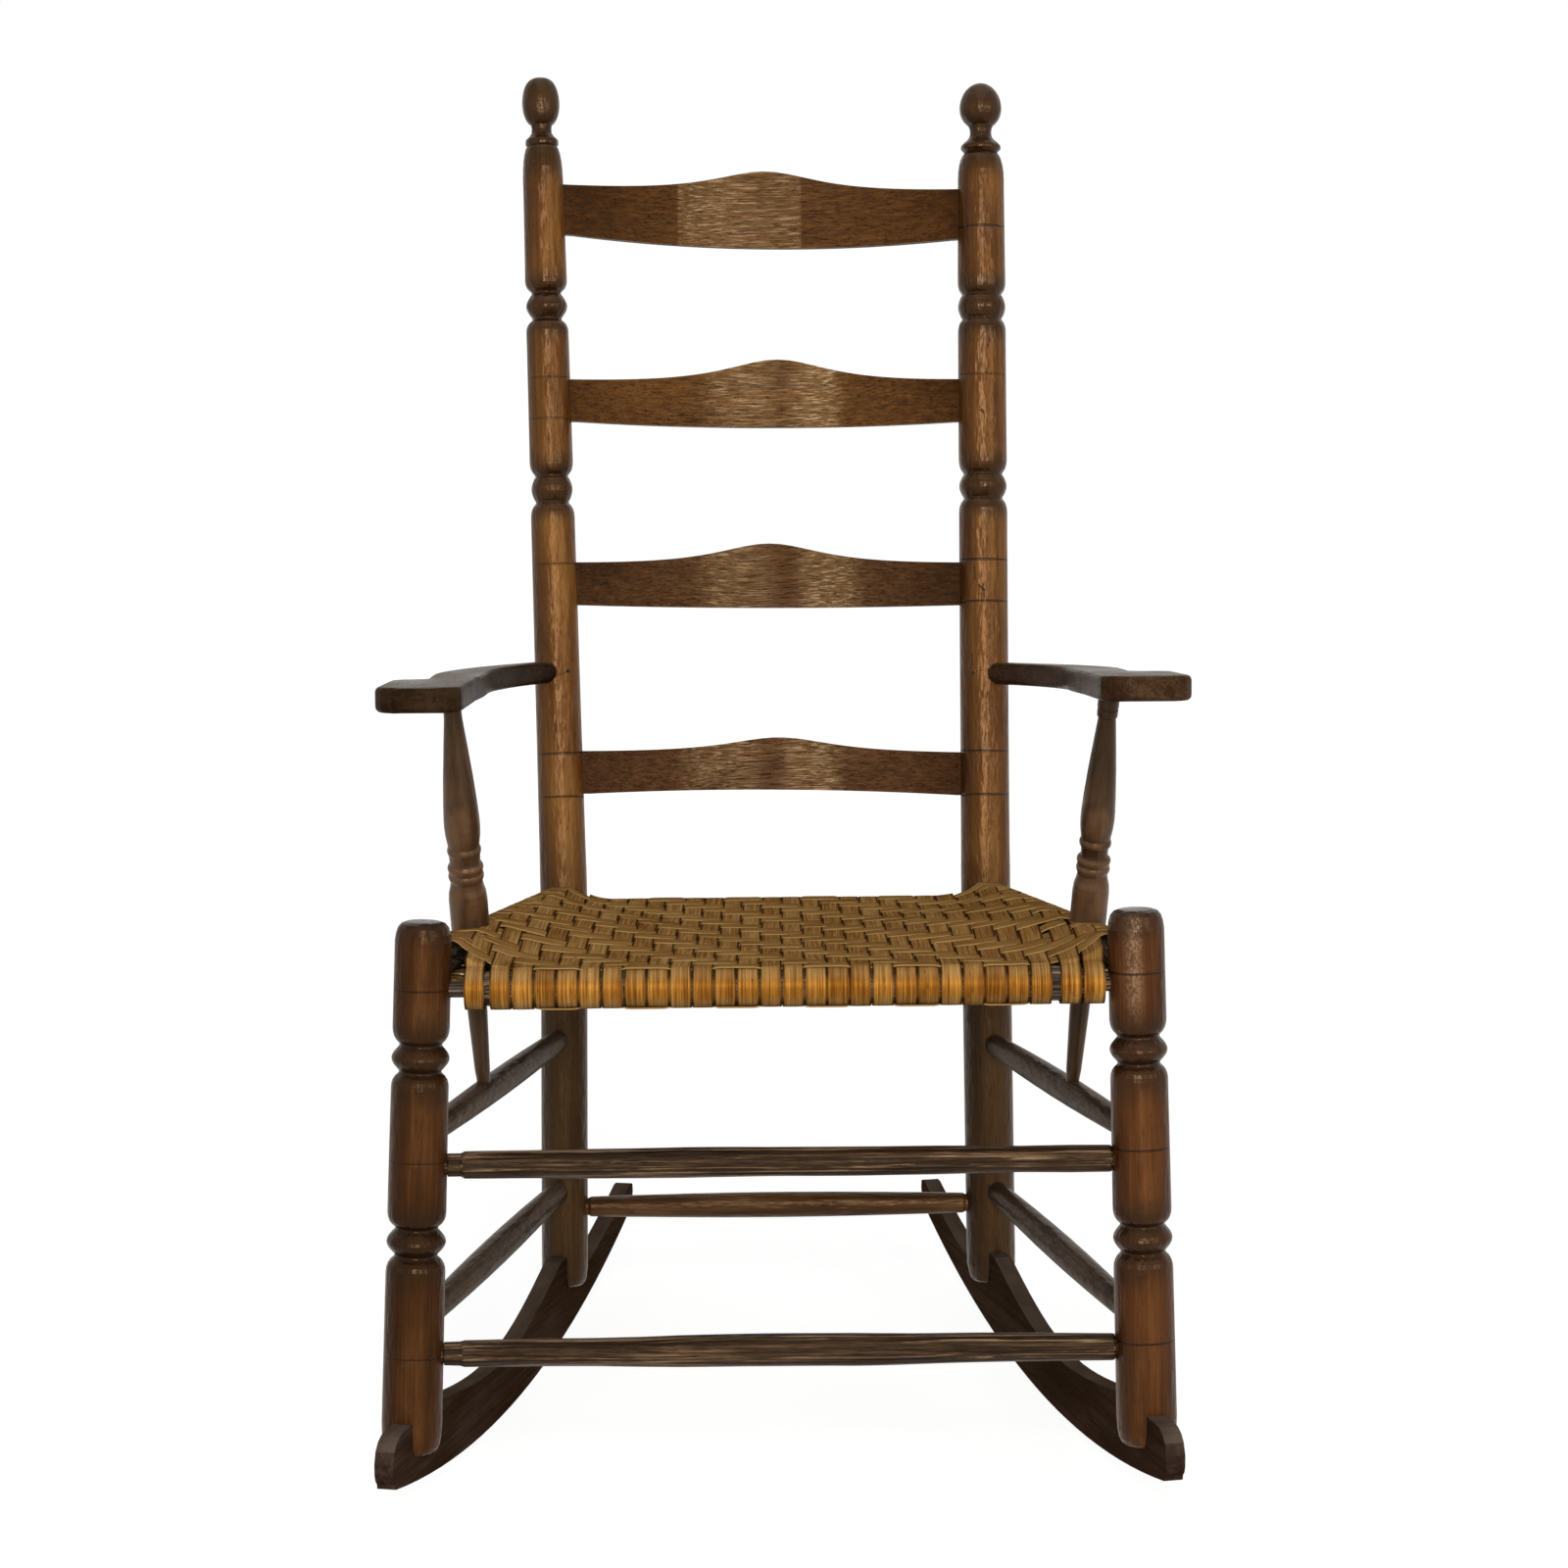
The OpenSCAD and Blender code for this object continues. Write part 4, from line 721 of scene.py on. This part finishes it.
# where the warps lie on the front rail and on the rear rail, and how wide they are
warp_front = np.concatenate([[-215.3, -197.4], np.linspace(-181.5, 184.0, 24), [205.0, 221.2]])
warp_rear = warp_front + np.interp(np.arange(WARPS), [FIRST_WHOLE, LAST_WHOLE], [6.7, 1.5])
warp_width = np.concatenate([[14.2, 14.2], np.full(24, 15.35), [14.9, 15.1]])
# where the wefts' borders lie in the middle of the seat and on the side rails, with a gap
# there for the arm spindles
row_edge_middle = np.linspace(-5.5, 384.5, ROWS + 1)
row_edge_side = np.concatenate([np.linspace(24.5, 93.8, 6), np.linspace(124.5, 356.5, 16)])


def row_edges(a):
    """The wefts' borders at share a across: even up to 0.62, and eased over the next 0.36
    to the side rails' ones, which are crowded clear of the posts and the spindles."""
    turn = ease((np.abs(a) - 0.62) / 0.36)[..., None]
    return row_edge_middle + (row_edge_side - row_edge_middle) * turn


def over(strand, row):
    """1 where the warp lies on top of the weft and -1 where it lies under it: a twill, under
    two rows and over two, each warp one row ahead of the one on its left."""
    inside = (row >= 0) & (row < ROWS)
    return np.where(inside & np.isin((strand + row + 2) % 4, (1, 2)), -1.0, 1.0)


def crossing(level, x):
    """The level at x between whole places: one place's value, eased to the next one's over
    0.44 of a place round the border half way between them."""
    low = np.floor(x)
    return level(low) + (level(low + 1) - level(low)) * ease((x - low - 0.5) / 0.44 + 0.5)


def strip_section(width, thickness, v):
    """Offsets round a splint's cross section: a flat lens, whose half thickness falls by a
    quarter of the cube of the place across, v."""
    shape = thickness / 2 * (1 - 0.25 * np.abs(v) ** 3)
    across = np.concatenate([v, v[::-1]]) * width / 2
    return across, np.concatenate([shape, -shape[::-1]])


def strips(parts):
    """Joins splints, each (points, uv, marks, closed), into one piece's arrays."""
    points, uv, marks, faces, start = [], [], [], [], 0
    for p, w, m, closed in parts:
        rows, columns = p.shape[:2]
        points.append(p.reshape(-1, 3))
        uv.append(w.reshape(-1, 2))
        marks.append(m.reshape(-1, 4))
        faces += (grid_faces(rows, columns, closed) + start).tolist()
        if not closed:
            first = np.arange(columns)
            faces.append((start + first[::-1]).tolist())
            faces.append((start + (rows - 1) * columns + first).tolist())
        start += rows * columns
    return np.vstack(points), faces, np.vstack(uv), np.vstack(marks)


def walk(a, b, step):
    """Places from a up to but not at b, about one step apart."""
    return np.linspace(a, b, max(2, int(round(abs(b - a) / step))), endpoint=False)


def pick(values, at, first, last):
    """The value at each place along the last axis, with places kept from first to last."""
    return np.take_along_axis(values, np.clip(at, first, last)[..., None], -1)[..., 0]


def run_along(points):
    """How far along its splint each point is: the steps of its middle line added up."""
    steps = np.linalg.norm(np.diff(points[:, 3], axis=0), axis=-1)
    return np.concatenate([[0], np.cumsum(steps)])[:, None]


rng = np.random.default_rng(21)
# the places of a section's points, from -1 at one edge to 1 at the other
v = np.array([-1, -0.86, -0.4, 0, 0.4, 0.86, 1])


def warp(strand):
    """One splint that runs front to back. Its path goes back along the top, round the rear
    rail, forward along the underside and round the front rail. A short one starts and
    ends on a side rail. Each point stands off the middle surface by the lay, plus or minus
    a step where it is over or under a weft."""
    x0, x1 = warp_front[strand], warp_rear[strand]
    whole = FIRST_WHOLE <= strand <= LAST_WHOLE
    # the outer edge of a short one goes 1.5 mm past the side rail's axis
    outer = abs(x0) + warp_width[strand] / 2
    stop = DEPTH if whole else min((FRONT_HALF + 1.5 - outer) / np.tan(toe), SHORT_STOP)
    top_y = walk(0, stop, STRIDE) if whole else np.append(walk(stop, 0, STRIDE), 0)[::-1]
    front = np.radians(walk(90, 270, TURN_STEP))
    if whole:
        rear = np.radians(walk(90, -90, TURN_STEP))
        y = np.concatenate([top_y, np.full(len(rear), DEPTH), DEPTH - top_y,
                            np.zeros(len(front))])
        angle = np.concatenate([np.full(len(top_y), np.pi / 2), rear,
                                np.full(len(top_y), -np.pi / 2), -front])
    else:
        y = np.concatenate([top_y[::-1], np.zeros(len(front)), top_y[1:]])
        angle = np.concatenate([np.full(len(top_y), np.pi / 2), front,
                                np.full(len(top_y) - 1, np.pi * 1.5)])
    across, lift = strip_section(warp_width[strand], THICK, v)
    yy, across = np.meshgrid(y, across, indexing="ij")
    aa = np.broadcast_to(angle[:, None], yy.shape)
    xx = x0 + (x1 - x0) * yy / DEPTH
    # laid by hand: the strips sway a little and aren't quite even in width
    sway = 0.25 * np.sin(yy / 47 + strand) + 0.1 * np.sin(yy / 19 + 2.1 * strand)
    xx = xx + sway + across * (1 + 0.03 * np.sin(yy / 33 + 1.7 * strand))
    a = np.clip(xx / half_width(yy), -1, 1)
    edges = row_edges(a)
    row = np.sum(yy[..., None] > edges, -1) - 1
    low, high = pick(edges, row, 0, ROWS - 1), pick(edges, row + 1, 1, ROWS)
    place = row + np.clip((yy - low) / (high - low), 0, 1) - 0.5
    sheet = np.abs(np.sin(aa)) ** 8
    level = crossing(lambda k: over(strand, k), place) * sheet
    # on the rails there is nothing to cross, and a short one's last 16 mm are tucked under
    tuck = 1.0 if whole else ease((stop - yy) / 16)
    stand = LAY - 0.35 * (1 - sheet) + STEP * (level * tuck - (1 - tuck)) + lift
    stand = stand + 0.12 * np.sin(0.9 * strand + yy / 28)
    points = np.stack([xx, yy + stand * np.cos(aa),
                       middle(a, yy / DEPTH) + stand * np.sin(aa)], -1)
    uv = np.stack(np.broadcast_arrays(across, run_along(points)), -1) / 1000
    # where it goes round the front rail a splint is glossier, and its colour there is partly
    # painted light from the front
    band = ease(np.where(np.sin(aa) > 0, -np.cos(aa) - 0.72, -0.9 * np.cos(aa) - 0.62) / 0.27)
    marks = np.stack(np.broadcast_arrays(
        rng.uniform(), band, 0.5 + np.abs(across) / warp_width[strand], 1.0), -1)
    return chair(points), uv, marks, whole


def weft(row):
    """One splint that runs across. Its path goes right along the top, round the right side
    rail, back along the underside and round the left side rail. Its border follows the
    rows' crowding, and it stands off the middle surface opposite to the warps."""
    ends = row == SHORT_WEFT
    limit = CUT_STOP if ends else 1.0
    share = walk(-limit, limit, STRIDE / half_width(DEPTH * (row + 0.5) / ROWS))
    share = np.append(share, limit)
    turn = np.radians(np.linspace(90, -90, 18)[1:-1])
    if ends:
        a, angle = share, np.full(len(share), np.pi / 2)
    else:
        a = np.concatenate([share, np.ones(len(turn)), share[::-1], -np.ones(len(turn))])
        angle = np.concatenate([np.full(len(share), np.pi / 2), turn,
                                np.full(len(share), -np.pi / 2), turn - np.pi])
    across, lift = strip_section(1.0, THICK, v)
    aa, across = np.meshgrid(a, across, indexing="ij")
    angle = np.broadcast_to(angle[:, None], aa.shape)
    edges = row_edges(aa)
    low, high = edges[..., row], edges[..., row + 1]
    width = np.minimum(ROW_FILL * (high - low), WEFT_WIDTH)
    yy = (low + high) / 2 + across * width
    yy = yy + 0.4 * np.sin(aa * 7 + 1.3 * row) + 0.2 * np.sin(aa * 23 + row)
    xx = aa * half_width(yy)
    spots = warp_front + (warp_rear - warp_front) * (yy[..., None] / DEPTH)
    count = np.sum(xx[..., None] > spots, -1)
    before, after = pick(spots, count - 1, 0, WARPS - 1), pick(spots, count, 0, WARPS - 1)
    place = count - 1 + np.clip((xx - before) / np.maximum(after - before, 1), 0, 1)
    sheet = np.abs(np.sin(angle)) ** 8
    level = -crossing(lambda s: over(s, row), place) * sheet
    level = np.where(np.abs(aa) > 0.93, level * ease((1 - np.abs(aa)) / 0.07), level)
    stand = LAY - 0.45 * (1 - sheet) + STEP * level + lift + 0.1 * np.sin(aa * 9 + 2.2 * row)
    points = np.stack([xx + stand * np.cos(angle) / np.cos(toe), yy,
                       middle(aa, np.clip(yy / DEPTH, 0.002, 0.998)) + stand * np.sin(angle)], -1)
    # the wefts' run starts past the warps' longest, so that no weft has a warp's fibres
    uv = np.stack(np.broadcast_arrays(across * USUAL_WIDTH, run_along(points) + 900), -1) / 1000
    marks = np.stack(np.broadcast_arrays(rng.uniform(), 0.0, across + 0.5, 1.0), -1)
    return chair(points), uv, marks, not ends


def splint_finish(name):
    """Old varnished splint: fibres run along the strip and each strip has its own tone. The top
    is olive brown, partly dulled by use and partly a painted grazing sheen, and the front band
    is honey orange, partly still glossy and partly painted as lit head on. The borders are dark,
    partly with dirt and partly with painted shade between the strips, but for the raised front
    edges of the wefts, which are paler: partly worn, partly a painted highlight."""
    finish = Finish(name)
    strip = finish.node("UVMap", uv_map="strip")
    mark = finish.node("SeparateColor", {0: finish.node("Attribute", attribute_name="strand")})
    shade, band, across = mark.node.outputs[:3]
    both = finish.node("SeparateXYZ", {0: strip})
    flow = finish.node("CombineXYZ", {
        0: both.node.outputs[0], 1: both.node.outputs[1], 2: finish.math("MULTIPLY", shade, 0.7)})
    fibre = finish.noise(finish.times(flow, (1050, 16, 60)), 4, 0.62)
    streak = finish.noise(finish.times(flow, (420, 6, 90)), 3, 0.55)
    patch = finish.noise(finish.times(flow, (55, 22, 90)), 3, 0.55)
    share = finish.math("MULTIPLY_ADD", fibre, 0.60, finish.math(
        "MULTIPLY_ADD", streak, 0.18, finish.math("MULTIPLY_ADD", patch, 0.18, finish.math(
            "MULTIPLY_ADD", shade, 0.06, 0.015))))
    olive = finish.ramp(share, [(0.42, (0.145, 0.0650, 0.0150)), (0.53, (0.268, 0.1370, 0.0410)),
                                (0.64, (0.410, 0.2450, 0.0850))])
    honey = finish.ramp(share, [(0.42, (0.100, 0.0330, 0.0040)), (0.53, (0.240, 0.0920, 0.0120)),
                                (0.64, (0.480, 0.2300, 0.0420))])
    # honey on the front band, olive on top: partly wear and dirt, partly painted light, head on
    # over the band and a grazing sheen over the top
    colour = finish.mix(band, olive, honey)
    # dark borders: partly dirt in the gaps, partly painted shade between the strips, fainter on
    # the front band
    border = finish.math("MULTIPLY", finish.span(across, 0.87, 0.97, 0.0, 0.92),
                         finish.math("MULTIPLY_ADD", band, -0.6, 1.0))
    colour = finish.mix(border, colour, (0.024, 0.0090, 0.0020))
    # the wefts' raised front edges are paler: partly worn fibres, partly a painted highlight
    raised = finish.span(across, 0.02, 0.08, 0.85, 0.0)
    colour = finish.mix(raised, colour, (0.360, 0.2300, 0.0850))
    fleck = finish.span(finish.noise(finish.times(flow, (500, 130, 40)), 3, 0.6), 0.64, 0.74)
    colour = finish.stain(colour, fleck, 0.6, (0.045, 0.0180, 0.0060))
    rough = finish.math("MULTIPLY_ADD", band, -0.14, finish.span(patch, 0.3, 0.7, 0.42, 0.56))
    relief = finish.math("MULTIPLY_ADD", fibre, 0.30, finish.math("MULTIPLY", streak, 0.25))
    return varnish(finish, colour, rough, relief, 0.0, glow=finish.math("MULTIPLY", band, 0.12))


ash = splint_finish("ash_splint")
for name, parts in (("seat_warps", [warp(i) for i in range(WARPS)]),
                    ("seat_wefts", [weft(i) for i in range(ROWS)])):
    piece = make_piece(name, *strips(parts))
    piece.data.materials.append(ash)
    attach(piece, "root")
    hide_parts("woven_seat")


bpy.context.view_layer.update()
